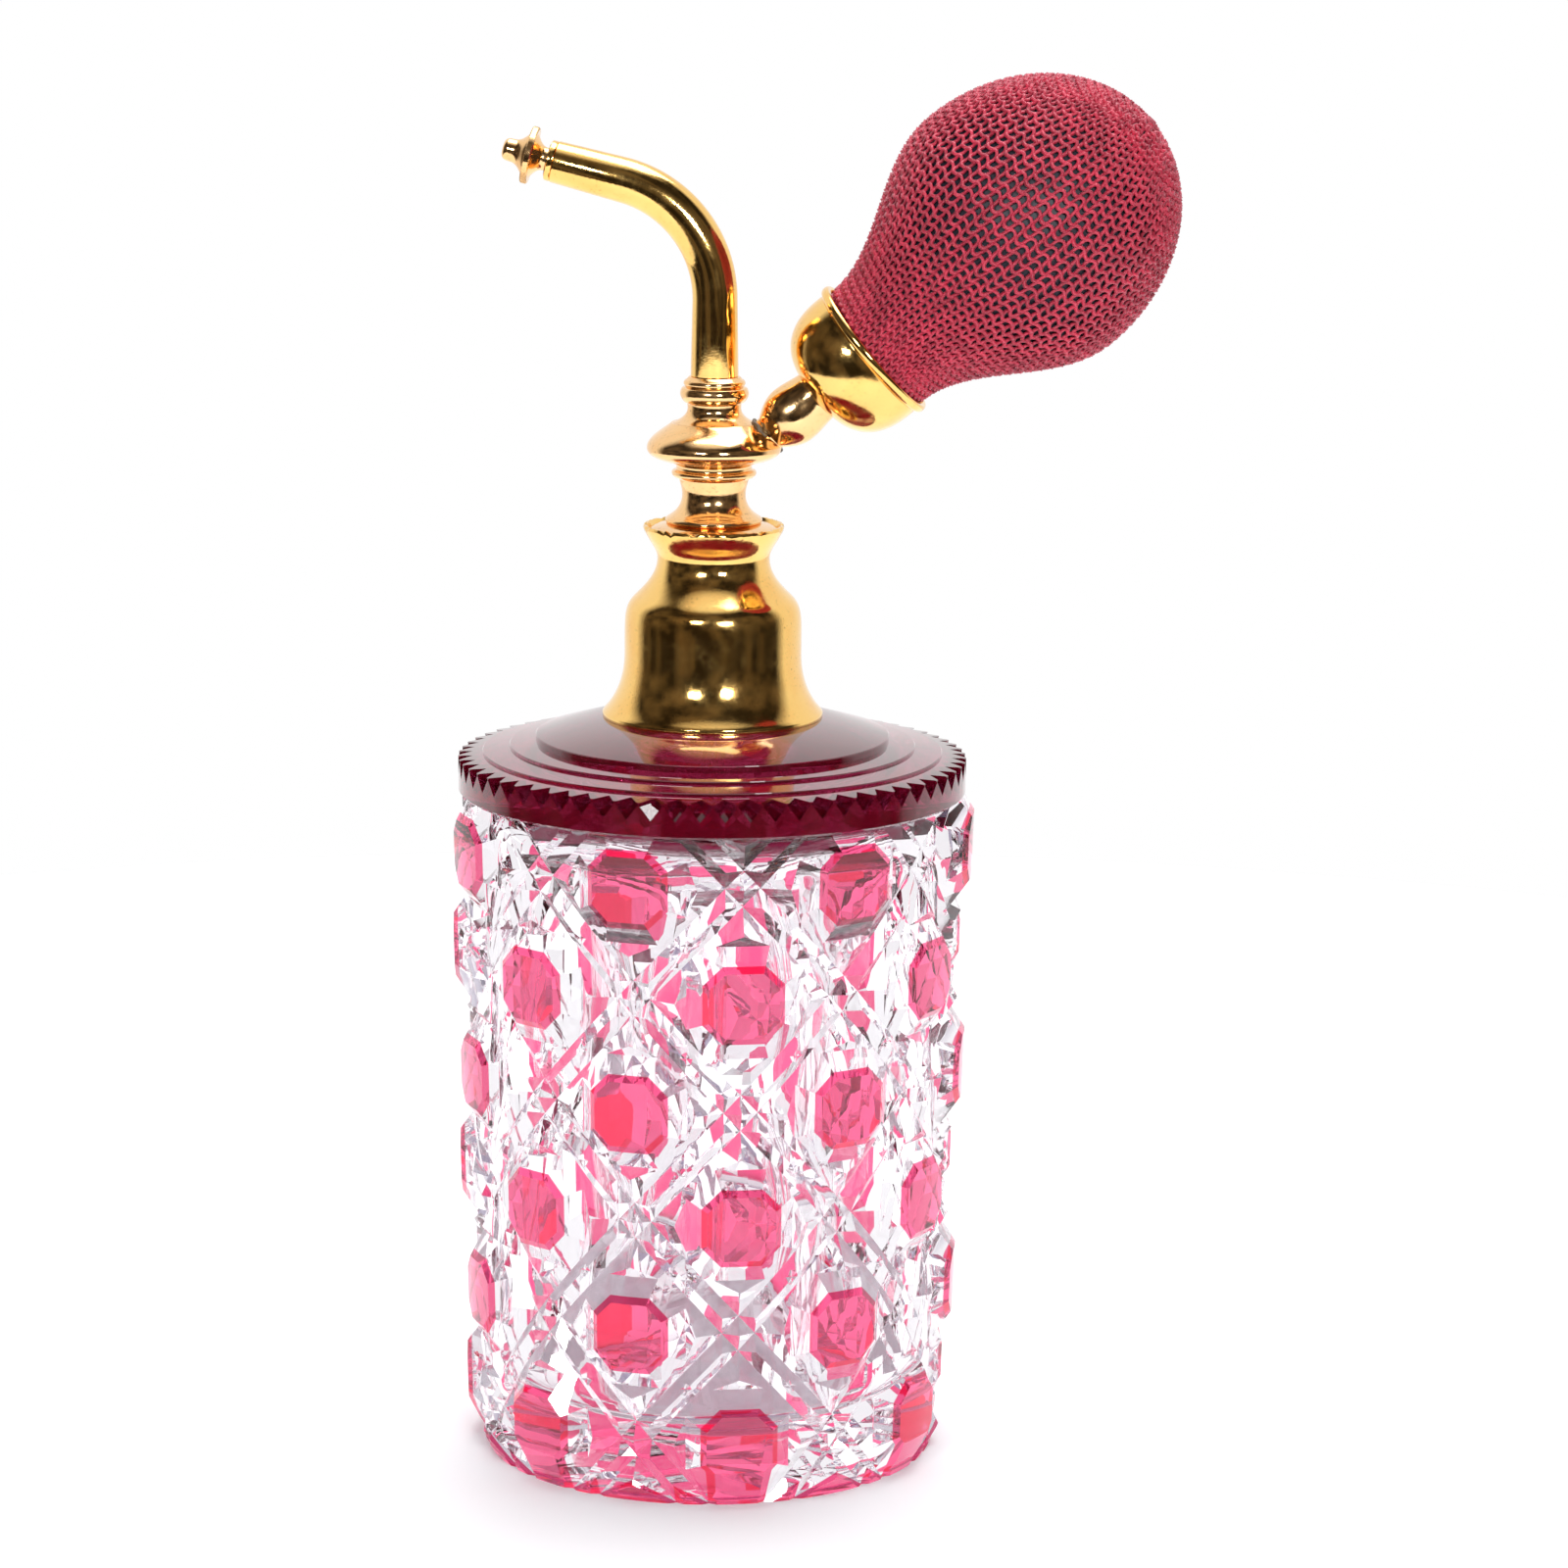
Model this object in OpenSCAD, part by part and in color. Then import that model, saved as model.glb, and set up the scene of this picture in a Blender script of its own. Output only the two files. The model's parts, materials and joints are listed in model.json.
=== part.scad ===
// Perfume atomiser with a squeeze bulb: a cut crystal bottle cased in ruby glass, a gilt
// brass collar, a screw-in head with a bent spout and a side arm, and a net-covered
// rubber bulb. The origin is the centre of the bottle's flat base, +Z is up, the spout
// points to -X and the bulb to +X. Lengths are in millimetres.

/* [Bottle] */
// Height of the cut glass wall, from the base to the ruby shoulder
body_h = 87.6; // [86.5:0.1:88.2]
// Radius that the wall's taper would have at the base
body_r = 31.69; // [31:0.05:32.5]
// Growth of the wall's radius for each millimetre of height
body_taper = 0.0285; // [0.02:0.0005:0.035]
// Radius of the flat base inside the bottom bevel
foot_r = 29.46; // [28.5:0.05:30]
// Height of the bottom bevel
foot_h = 5; // [4:0.1:6]
// Radius of the perfume chamber
chamber_r = 25; // [23:0.1:26]
// Height of the perfume chamber's floor
chamber_floor = 8; // [6:0.1:12]
// Outer radius of the glass neck
neck_r = 9.5; // [9.2:0.05:9.6]
// Radius of the neck's bore
neck_bore_r = 6.5; // [6:0.05:7]
// Height of the glass lip
neck_top = 112; // [111.5:0.05:112]

/* [Cutting] */
// Number of ruby buttons in each row
buttons_per_row = 7; // [5:1:9]
// Number of rows of buttons
button_rows = 6; // [4:1:6]
// Distance between rows
row_pitch = 14.556; // [14:0.01:14.6]
// Height of the bottom row's centre
first_row_z = 8.27; // [8:0.01:8.6]
// Direction of the first button in the odd rows, from +X
odd_row_turn = 256.8; // [0:0.1:360]
// Depth of the upright and level mitre cuts
cut_depth = 2.16; // [1.8:0.01:2.4]
// Depth of a cut divided by half its width
cut_slope = 0.7; // [0.6:0.01:0.8]
// Thickness of the ruby casing
casing_t = 0.6; // [0.4:0.05:0.9]
// Width of a button's flat face
button_w = 9.4; // [8.5:0.1:10]
// Height of a button's flat face
button_h = 9; // [8.5:0.1:9.6]
// Length cut from each corner of a button
button_corner = 2.5; // [1.5:0.1:3]
// Number of notches round the shoulder's edge
notches = 66; // [40:1:80]
// Depth of a shoulder notch
notch_depth = 1.1; // [0.6:0.05:1.3]

/* [Shoulder] */
// Radius of the ruby shoulder
shoulder_r = 32.95; // [32.5:0.05:33.2]
// Height of the shoulder's top edge
shoulder_top = 92.1; // [91.5:0.1:92.6]
// Radii of the shoulder's three steps, from the lowest
step_r = [29.7, 26.2, 22.8]; // [22:0.1:31]
// Heights of the shoulder's three steps, from the lowest
step_z = [92.9, 93.7, 95]; // [92.2:0.1:96]

/* [Collar] */
// Radius of the bell collar's rim
bell_r = 14.28; // [14:0.01:14.5]
// Height of the bell collar's rim
bell_z = 97.3; // [97.3:0.01:97.4]
// Radius of the bell collar's waist
bell_waist_r = 11.45; // [11.4:0.01:11.6]
// Radius of the collar's throat, under its lip
throat_r = 7.25; // [7.2:0.01:7.4]
// Radius of the collar's lip
lip_r = 9.1; // [9:0.01:9.3]
// Height of the collar's lip
lip_z = 122.3; // [122.2:0.01:122.4]
// Major radius of the screw thread
thread_r = 5; // [4.5:0.05:5.1]
// Rise of the head for each turn
thread_pitch = 1; // [0.8:0.1:1.2]

/* [Head] */
// Radius of the head's ring-shaped knop
knop_r = 8.68; // [8.4:0.01:9]
// Height of the knop's widest line
knop_z = 132.25; // [132.2:0.01:132.4]
// Radius of the spout tube at its foot
spout_r = 3.08; // [3:0.01:3.2]
// Radius of the spout tube at its end
spout_end_r = 2.68; // [2.6:0.01:2.8]
// Radius of the spout's bend
bend_r = 15.5; // [15:0.1:16]
// Angle that the spout turns through
bend_angle = 76; // [74:0.5:78]
// Height at which the spout starts to bend
bend_z = 151.3; // [150:0.1:152]
// Length of the straight end of the spout
spout_end_l = 9.15; // [8:0.05:10]
// Radius of the knurled nozzle ring
nozzle_r = 3.7; // [3.4:0.05:4]
// Number of teeth in the nozzle's knurl
knurl_teeth = 48; // [36:1:60]

/* [Bulb] */
// Height at which the arm's axis meets the head's axis
arm_z = 128.2; // [128.1:0.05:128.3]
// Angle of the arm and bulb above level
arm_rise = 40; // [40:1:40]
// Distance along the arm's axis to the cup's rim
rim_s = 27.15; // [27:0.05:27.3]
// Radius of the cup's rolled rim
rim_r = 10.1; // [10:0.05:10.2]
// Radius of the net cover where it leaves the cup
net_neck_r = 9.1; // [9:0.05:9.1]
// Greatest radius of the net cover
net_r = 18.5; // [18:0.1:19]
// Distance from the rim to the bulb's widest line
net_wide_s = 23.5; // [22:0.1:25]
// Length of the bulb beyond its widest line
net_tail_l = 21.7; // [21.5:0.1:22.5]
// Thickness of the net cover
net_t = 0.75; // [0.6:0.05:0.8]
// Thickness of the rubber wall
rubber_t = 1.6; // [1.2:0.1:2]

/* [Inside] */
// Outer radius of the glass dip tube
dip_r = 1.5; // [1.3:0.05:1.6]
// Height of the dip tube's open end
dip_z = 10.5; // [10:0.5:14]
// Outer radius of the liquid tube inside the spout
liquid_r = 0.8; // [0.7:0.05:0.9]
// Running clearance between pieces that turn or slide
fit = 0.05; // [0.03:0.01:0.08]
// Travel of each valve ball
ball_travel = 0.7; // [0.5:0.05:0.7]

/* [Hidden] */
$fn = 96;

column_turn = 180 / buttons_per_row;
casing_half_w = (cut_depth - casing_t) / cut_slope;
taper_angle = atan(body_taper);
flute_len = body_h + 8;
case_z = foot_h * (cut_depth - casing_t) / (body_r + body_taper * foot_h - foot_r);

bell_wall = 0.65;
bush_top = 119.2;
bush_bottom = 112.8;
plug_bottom = 113.2;
washer_t = 0.7;
flange_z = bush_top + washer_t;
flange_top = 122.6;
baluster_top = 130.4;
knop_top = 135.5;
socket_top = 141.45;
air_r = 1.9;
bore_r = 1.5;
bend_tube_r = 2.9;
capillary_r = 0.45;
nozzle_pitch = 0.4;
stem_r = 1.25;
ball_r = 1.4;
arm_from_s = 6.3;
arm_r = 2.4;
cup_base_s = 17.2;
neck_rubber_r = 6.2;
net_from_s = 20.6;
tail_s = rim_s + net_wide_s + net_tail_l;
valve_top_s = tail_s - 1.2;
valve_len = 6.6;
valve_r = 2.9;
curve_steps = 8;

glass = [0.93, 0.9, 0.98, 0.45];
ruby = [0.85, 0.1, 0.32];
dark_ruby = [0.35, 0.02, 0.08];
gold = [0.86, 0.66, 0.28];
rose_gold = [0.85, 0.58, 0.3];
dark_rubber = [0.13, 0.12, 0.13];
crimson = [0.48, 0.06, 0.12];
plaster = [0.85, 0.82, 0.76];

// Radius of the blank's wall at a height
function wall_r(z) = z < foot_h
    ? foot_r + (body_r + body_taper * foot_h - foot_r) * z / foot_h
    : body_r + body_taper * z;

// Points of a smooth curve with two handles
function curve(a, b, c, d) = [for (i = [0:curve_steps])
    let (t = i / curve_steps, u = 1 - t)
    u * u * u * a + 3 * u * u * t * b + 3 * u * t * t * c + t * t * t * d];

// Radius of the net cover at a distance beyond the cup's rim
function net_radius(s) = s < net_wide_s
    ? net_neck_r + (net_r - net_neck_r) * (1 - cos(180 * s / net_wide_s)) / 2
    : net_r * sqrt(max(0, 1 - pow((s - net_wide_s) / net_tail_l, 2)));

// The bulb's outline from the rim to the tail, taken in by a thickness
function bulb_outline(inset) = [
    for (i = [0:17]) let (s = net_wide_s * i / 18)
        [net_radius(s) - inset, rim_s + s],
    for (i = [0:15]) let (a = 90 * i / 16)
        [(net_r - inset) * cos(a), rim_s + net_wide_s + (net_tail_l - inset) * sin(a)]];

// Places its children on the axis of the arm and the bulb
module on_arm() {
    translate([0, 0, arm_z]) rotate([0, 90 - arm_rise, 0]) children();
}

// Places its children at the spout's end, along its axis
module on_spout_end() {
    translate([-bend_r, 0, bend_z]) rotate([0, -bend_angle, 0])
        translate([bend_r, 0, spout_end_l]) children();
}

// A ring with a round bore
module ring(outer, inner, from, to) {
    translate([0, 0, from]) difference() {
        cylinder(r = outer, h = to - from);
        translate([0, 0, -1]) cylinder(r = inner, h = to - from + 2);
    }
}

// A rod that follows the spout from a height to a distance short of its end
module spout_path(from_z, from_r, mid_r, end_r, short) {
    translate([0, 0, from_z]) cylinder(r1 = from_r, r2 = mid_r, h = bend_z - from_z);
    translate([-bend_r, 0, bend_z]) {
        rotate([90, 0, 0]) rotate_extrude(angle = bend_angle)
            translate([bend_r, 0]) circle(r = mid_r);
        rotate([0, -bend_angle, 0]) translate([bend_r, 0, 0])
            cylinder(r1 = mid_r, r2 = end_r, h = spout_end_l - short);
    }
}

// One upright mitre cut down the wall
module flute() {
    reach = 3;
    translate([body_r, 0, 0]) rotate([0, taper_angle, 0]) translate([0, 0, -1])
        linear_extrude(height = flute_len)
            polygon([[-cut_depth, 0], [reach, (reach + cut_depth) / cut_slope],
                     [reach, -(reach + cut_depth) / cut_slope]]);
}

// Wall of the clear glass under the casing, with a level mitre cut between the rows
function cased_wall() = [
    [foot_r - casing_t, 0],
    [wall_r(foot_h) - casing_t, foot_h],
    for (i = [0:button_rows - 2])
        let (z = first_row_z + row_pitch * (i + 0.5))
        each [[wall_r(z - casing_half_w) - casing_t, z - casing_half_w],
              [wall_r(z) - cut_depth, z],
              [wall_r(z + casing_half_w) - casing_t, z + casing_half_w]],
    let (z = first_row_z + row_pitch * (button_rows - 0.5))
        [wall_r(z - casing_half_w) - casing_t, z - casing_half_w],
    let (z = first_row_z + row_pitch * (button_rows - 0.5))
        [wall_r(body_h) - cut_depth + (z - body_h) * cut_slope, body_h]];

module bottle() {
    chamber_shoulder = 79;
    ceiling = [18.5, 85];
    color(glass) difference() {
        rotate_extrude() polygon(concat(
            [[0, 0]], cased_wall(),
            [[neck_r, body_h], [neck_r, neck_top - 0.6], [neck_r - 0.6, neck_top],
             [neck_bore_r + 0.5, neck_top], [neck_bore_r, neck_top - 0.5]],
            curve([neck_bore_r, 92], [neck_bore_r, 86.5], [12, 86], ceiling),
            curve(ceiling, [23.5, 84.2], [chamber_r, 83], [chamber_r, chamber_shoulder]),
            curve([chamber_r, chamber_floor + 4], [chamber_r, chamber_floor + 1],
                  [chamber_r - 1, chamber_floor], [chamber_r - 4, chamber_floor]),
            [[0, chamber_floor]]));
        for (i = [0:2 * buttons_per_row - 1])
            rotate([0, 0, odd_row_turn + (i + 0.5) * column_turn]) flute();
    }
}

module ruby_shoulder() {
    color(dark_ruby) difference() {
        rotate_extrude() polygon([
            [neck_r, body_h], [shoulder_r - 0.3, body_h], [shoulder_r, body_h + 0.3],
            [shoulder_r, shoulder_top],
            [step_r[0], shoulder_top], [step_r[0], step_z[0]],
            [step_r[1], step_z[0]], [step_r[1], step_z[1]],
            [step_r[2], step_z[1]], [step_r[2], step_z[2]],
            [bell_r + 0.4, bell_z], [neck_r, bell_z]]);
        for (i = [0:notches - 1])
            rotate([0, 0, 360 * i / notches])
                translate([shoulder_r + 1, 0, shoulder_top + 0.6])
                    rotate([0, 50, 0]) rotate([0, 0, 45])
                        cube([2.2, 2.2, 8], center = true);
    }
}

// Shell of ruby glass between the clear wall and the blank's surface
module casing_shell() {
    rotate_extrude() polygon([
        [foot_r - casing_t, 0], [foot_r, 0],
        [wall_r(foot_h), foot_h], [wall_r(body_h), body_h],
        [wall_r(body_h) - casing_t, body_h],
        [wall_r(foot_h) - casing_t, foot_h]]);
}

// Outline of a button, with a foot that runs down to the bottom band
module button_outline(drop) {
    polygon([[-button_w / 2, -button_h / 2 + (drop > 0 ? -drop : button_corner)],
             [-button_w / 2, button_h / 2 - button_corner],
             [-button_w / 2 + button_corner, button_h / 2],
             [button_w / 2 - button_corner, button_h / 2],
             [button_w / 2, button_h / 2 - button_corner],
             [button_w / 2, -button_h / 2 + (drop > 0 ? -drop : button_corner)],
             if (drop == 0) [button_w / 2 - button_corner, -button_h / 2],
             if (drop == 0) [-button_w / 2 + button_corner, -button_h / 2]]);
}

module ruby_buttons() {
    drop = first_row_z - button_h / 2 - case_z;
    color(ruby) intersection() {
        casing_shell();
        for (row = [0:button_rows - 1], i = [0:buttons_per_row - 1])
            rotate([0, 0, odd_row_turn + 2 * column_turn * i
                    + (row % 2 == 0 ? column_turn : 0)])
                translate([20, 0, first_row_z + row * row_pitch])
                    rotate([90, 0, 90]) linear_extrude(height = 20)
                        button_outline(row == 0 ? drop : 0);
    }
}

module ruby_foot() {
    color(dark_ruby) rotate_extrude() polygon([
        [foot_r - casing_t, 0], [foot_r, 0],
        [wall_r(case_z), case_z], [wall_r(case_z) - casing_t, case_z]]);
}

module neck_cement() {
    color(plaster) rotate_extrude() polygon([
        [neck_r, bell_z + 0.6], [12.9, bell_z + 0.6], [11.6, 99.8], [11, 102],
        [10.6, 104.5], [10.6, 110.4], [neck_r, 110.4]]);
}

module neck_gasket() {
    color(dark_rubber) ring(8.6, neck_bore_r + 0.3, neck_top, bush_bottom);
}

module bell_collar() {
    w = bell_wall;
    color(gold) rotate_extrude() polygon(concat(
        [[bell_r, bell_z], [bell_r, bell_z + 0.6]],
        curve([bell_r - 0.35, 98.3], [12.4, 100], [bell_waist_r, 102.5],
              [bell_waist_r, 105.5]),
        curve([bell_waist_r, 108.6], [bell_waist_r, 111.5], [11, 112.2], [9.95, 113.2]),
        curve([9.95, 113.2], [8.3, 114.8], [throat_r, 116.2], [throat_r, 118]),
        curve([throat_r, 118], [throat_r, 119], [8.05, 119.8], [lip_r - 0.5, 120.9]),
        [[lip_r, lip_z - 0.4], [lip_r - 0.1, lip_z], [lip_r - 0.45, lip_z],
         [8.5, 121.6], [7.05, 119.3], [throat_r - w, 118.6], [throat_r - w, 116.6]],
        curve([throat_r - w, 116.4], [7.7, 114.6], [8.6, 113.8], [9.3, 113]),
        curve([9.3, 113], [10.4, 111.9], [bell_waist_r - w, 111.2],
              [bell_waist_r - w, 108.6]),
        curve([bell_waist_r - w, 105.5], [bell_waist_r - w, 102.4], [11.8, 99.9],
              [bell_r - 1, 98.1]),
        [[bell_r - w, bell_z]]));
}

module thread_bush() {
    color(gold) rotate_extrude() polygon([
        [thread_r + fit, bush_bottom], [8.5, bush_bottom], [8.5, 113.4], [7.1, 114.6],
        [6.4, 116], [6.4, bush_top], [thread_r + fit, bush_top]]);
}

module flange_washer() {
    color(dark_rubber) ring(6.4, thread_r + 2 * fit, bush_top, flange_z);
}

module dip_tube() {
    color(glass) ring(dip_r, dip_r - 0.6, dip_z, plug_bottom - 0.3);
}

module tube_ferrule() {
    color(rose_gold) ring(dip_r + fit + 0.7, dip_r + fit, 106.5, plug_bottom);
}

// Threaded plug with the domed flange that closes the collar
module screw_plug() {
    turns = floor((flange_z - plug_bottom - 1) / thread_pitch);
    groove = 0.35;
    color(rose_gold) rotate_extrude() polygon(concat(
        [[liquid_r, plug_bottom], [thread_r - 0.4, plug_bottom]],
        [for (i = [0:turns - 1]) let (z = plug_bottom + 0.4 + i * thread_pitch)
            each [[thread_r, z], [thread_r, z + 0.3], [thread_r - groove, z + 0.5],
                  [thread_r - groove, z + 0.7]]],
        [[thread_r, flange_z - 0.4], [thread_r, flange_z], [6.7, flange_z],
         [8.15, 121.4], [8.2, 121.8]],
        curve([8.2, 121.8], [7.6, 122.25], [6.8, 122.3], [6, flange_top]),
        [[liquid_r, flange_top]]));
}

module baluster() {
    color(rose_gold) rotate_extrude() polygon(concat(
        [[liquid_r, flange_top], [6, flange_top]],
        curve([6.1, flange_top + 0.05], [6.4, 122.8], [6.35, 123.2], [5.7, 123.5]),
        curve([5.6, 123.6], [4.9, 124], [4.1, 124.9], [4.1, 126.2]),
        curve([4.1, 126.2], [4.1, 127.2], [4.4, 127.6], [4.5, 128.3]),
        [[5.1, 128.5]],
        curve([5.2, 128.6], [5.55, 128.8], [5.55, 129.3], [5.2, 129.4]),
        curve([4.9, 129.5], [4.8, 129.8], [4.9, 130.2], [5.3, baluster_top]),
        [[liquid_r, baluster_top]]));
}

// Ring-shaped knop with the air gallery that the arm opens into
module knop() {
    gallery_r = 2.6;
    color(rose_gold) difference() {
        rotate_extrude() polygon(concat(
            [[liquid_r, baluster_top]],
            curve([5.3, baluster_top], [7, 130.7], [knop_r, 131.2], [knop_r, knop_z]),
            curve([knop_r, knop_z], [knop_r, 133.6], [6.6, 134.6], [5.5, knop_top]),
            [[gallery_r, knop_top], [gallery_r, baluster_top + 0.8],
             [liquid_r, baluster_top + 0.8]]));
        on_arm() translate([0, 0, gallery_r]) cylinder(r = bore_r, h = 9);
        on_arm() translate([0, 0, arm_from_s]) cylinder(r = arm_r, h = 6);
    }
}

module spout_socket() {
    color(rose_gold) rotate_extrude() polygon(concat(
        [[air_r, knop_top], [5.3, knop_top]],
        curve([5.3, knop_top], [4.2, 136], [3.5, 136.5], [3.45, 137.4]),
        [[3.5, 138], [3.9, 138.2]],
        curve([4, 138.3], [4.5, 138.9], [4.55, 139.4], [4.2, 140]),
        curve([3.7, 140.2], [4.1, 140.4], [4.1, 140.9], [3.6, 141.1]),
        [[3.3, socket_top], [air_r, socket_top]]));
}

module spout_tube() {
    color(gold) difference() {
        spout_path(socket_top, spout_r, bend_tube_r, spout_end_r, 0);
        spout_path(socket_top - 1, air_r, air_r, air_r, -1);
    }
}

// Drawn capillary tube, very slightly tapered
module liquid_tube() {
    short = 3.4;
    draw = 0.02;
    color(gold) difference() {
        spout_path(plug_bottom, liquid_r, liquid_r - draw, liquid_r - 2 * draw, short);
        spout_path(plug_bottom - 1, capillary_r, capillary_r, capillary_r, short - 1);
    }
}

module nozzle_seat() {
    color(gold) on_spout_end() {
        ring(air_r, stem_r + fit, -3, 0);
        ring(2.5, stem_r + fit, 0, 0.6);
    }
}

module nozzle_packing() {
    color(dark_rubber) on_spout_end() ring(2.1, stem_r + 2 * fit, 0.6, 0.95);
}

// Stem, knurled ring and rounded jet, in one turned piece
module nozzle_tip() {
    jet_r = 0.35;
    tooth = 0.22;
    color(gold) on_spout_end() difference() {
        union() {
            translate([0, 0, -2.6]) cylinder(r = stem_r, h = 3.6);
            rotate_extrude() polygon(concat(
                [[0, 0.95], [1.5, 0.95]],
                curve([1.5, 1.3], [1.5, 2], [2.4, 2.5], [2.9, 2.8]),
                [[2.9, 3.7]],
                curve([2.9, 3.7], [1.8, 3.85], [1.35, 4.2], [1.4, 5]),
                curve([1.4, 6], [1.4, 6.5], [1.1, 6.8], [0.7, 6.8]),
                [[0, 6.8]]));
            translate([0, 0, 2.8]) linear_extrude(height = 0.9)
                polygon([for (i = [0:2 * knurl_teeth - 1])
                    let (r = nozzle_r - (i % 2 == 0 ? 0 : tooth),
                         a = 180 * i / knurl_teeth)
                    [r * cos(a), r * sin(a)]]);
        }
        translate([0, 0, -3]) cylinder(r = jet_r, h = 11);
    }
}

module side_arm() {
    color(rose_gold) on_arm() difference() {
        union() {
            translate([0, 0, arm_from_s]) cylinder(r = arm_r, h = 9.5 - arm_from_s);
            rotate_extrude() polygon(concat(
                [[0, 9.5], [arm_r, 9.5]],
                curve([arm_r, 9.5], [2.9, 10.2], [3.95, 11.6], [3.95, 13.2]),
                curve([3.95, 13.2], [3.95, 14.8], [3.6, 15.6], [3.5, cup_base_s]),
                [[0, cup_base_s]]));
        }
        translate([0, 0, 4]) cylinder(r = bore_r, h = 14);
    }
}

module bulb_cup() {
    color(gold) on_arm() rotate_extrude() polygon(concat(
        [[bore_r, cup_base_s], [3.5, cup_base_s]],
        curve([3.6, cup_base_s], [7.4, 17.7], [9.35, 20.4], [9.4, 24.4]),
        [[9.4, 25.5], [9.3, 25.8]],
        curve([9.7, 26], [rim_r, 26.1], [rim_r + 0.1, 26.9], [rim_r - 0.3, rim_s]),
        [[9.25, rim_s], [9.2, 26.5], [8.75, 25.4]],
        curve([8.75, 24.4], [8.7, 20.9], [6.9, 18.6], [3.6, 17.9]),
        [[bore_r, 17.9]]));
}

// Ribbed nipple that holds the rubber neck and the outlet valve
module hose_nipple() {
    ball_seat_r = 2;
    color(gold) on_arm() rotate_extrude() polygon(concat(
        [[bore_r - 0.6, 17.9], [3, 17.9], [3, 19]],
        [for (i = [0:2]) let (s = 19 + i * 1.9) each [[3.3, s + 0.1], [3, s + 1.7]]],
        [[2.8, 24.9], [ball_seat_r, 24.9], [ball_seat_r, 19.2], [bore_r - 0.6, 19.2]]));
}

module outlet_seat() {
    color(gold) on_arm() ring(2, 0.8, 19.2 + 2 * ball_r + ball_travel + fit, 24.6);
}

module outlet_ball() {
    color("silver") on_arm() translate([0, 0, 19.2 + ball_r + fit / 2]) sphere(r = ball_r);
}

module rubber_bulb() {
    inner = net_t + rubber_t;
    color(dark_rubber) on_arm() difference() {
        rotate_extrude() polygon(concat(
            [[3.35, 20.2], [neck_rubber_r, 20.2], [neck_rubber_r, 24.6]],
            [for (p = bulb_outline(net_t + 0.05)) p],
            [[0, tail_s - net_t - 0.05], [0, tail_s - inner]],
            [for (i = [len(bulb_outline(inner)) - 1:-1:4]) bulb_outline(inner)[i]],
            [[3.35, rim_s + 1.5]]));
        translate([0, 0, valve_top_s - valve_len - 1]) cylinder(r = valve_r + fit, h = 12);
    }
}

module net_cover() {
    color(crimson) on_arm() rotate_extrude() polygon(concat(
        [[neck_rubber_r + 0.1, net_from_s], [neck_rubber_r + net_t, net_from_s],
         [neck_rubber_r + net_t, 24.4]],
        bulb_outline(0),
        [[0, tail_s], [0, tail_s - net_t + 0.05]],
        [for (i = [len(bulb_outline(net_t)) - 1:-1:0]) bulb_outline(net_t)[i]],
        [[neck_rubber_r + 0.1, 24.5]]));
}

module neck_binding() {
    cord_r = 0.4;
    color(dark_ruby) on_arm() for (i = [0:2])
        translate([0, 0, 21.8 + i * 2 * (cord_r + 0.02)]) rotate_extrude()
            translate([neck_rubber_r + net_t + cord_r + 0.05, 0]) circle(r = cord_r, $fn = 32);
}

module intake_valve() {
    chamber = 2 * ball_r + ball_travel + fit;
    color("silver") on_arm() difference() {
        translate([0, 0, valve_top_s - valve_len]) cylinder(r = valve_r, h = valve_len);
        translate([0, 0, valve_top_s - valve_len + 1]) cylinder(r = 1.9, h = chamber);
        translate([0, 0, valve_top_s - valve_len - 1]) cylinder(r = 0.8, h = valve_len + 2);
    }
}

module intake_ball() {
    color("silver") on_arm()
        translate([0, 0, valve_top_s - valve_len + 1 + ball_r + fit / 2])
            sphere(r = ball_r);
}

bottle();
ruby_shoulder();
ruby_buttons();
ruby_foot();
neck_cement();
neck_gasket();
bell_collar();
thread_bush();
flange_washer();
dip_tube();
tube_ferrule();
screw_plug();
baluster();
knop();
spout_socket();
spout_tube();
liquid_tube();
nozzle_seat();
nozzle_packing();
nozzle_tip();
side_arm();
bulb_cup();
hose_nipple();
outlet_seat();
outlet_ball();
rubber_bulb();
net_cover();
neck_binding();
intake_valve();
intake_ball();
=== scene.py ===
import json
import math
import random
from itertools import combinations, product

import bmesh
import bpy
from bmesh.types import BMEdge, BMFace, BMVert
from bpy.props import FloatProperty, FloatVectorProperty, IntProperty, PointerProperty
from mathutils import Matrix, Vector, noise


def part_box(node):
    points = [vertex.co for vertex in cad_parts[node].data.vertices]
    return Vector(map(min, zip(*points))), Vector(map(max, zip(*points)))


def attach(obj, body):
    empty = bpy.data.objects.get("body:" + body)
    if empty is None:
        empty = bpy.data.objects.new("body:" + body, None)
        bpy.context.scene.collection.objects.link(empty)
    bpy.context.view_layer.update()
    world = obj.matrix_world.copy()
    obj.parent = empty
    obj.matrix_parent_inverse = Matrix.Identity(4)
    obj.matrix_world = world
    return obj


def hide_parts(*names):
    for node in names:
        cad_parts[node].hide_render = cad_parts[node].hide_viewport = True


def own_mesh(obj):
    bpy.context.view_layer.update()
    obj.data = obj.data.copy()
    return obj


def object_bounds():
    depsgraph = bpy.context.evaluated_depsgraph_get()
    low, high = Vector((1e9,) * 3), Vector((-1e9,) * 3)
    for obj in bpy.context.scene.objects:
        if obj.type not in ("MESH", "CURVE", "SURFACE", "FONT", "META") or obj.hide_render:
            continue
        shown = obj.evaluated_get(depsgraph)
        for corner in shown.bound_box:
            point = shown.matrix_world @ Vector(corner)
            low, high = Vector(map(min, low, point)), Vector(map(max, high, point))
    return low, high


bl_info = {
    "name": "Perfume Atomiser",
    "version": (1, 0, 0),
    "blender": (4, 5, 0),
    "location": "3D View > Sidebar > Atomiser",
    "description": "Builds a cut crystal perfume atomiser around its packed frame",
    "category": "Object",
}

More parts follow.
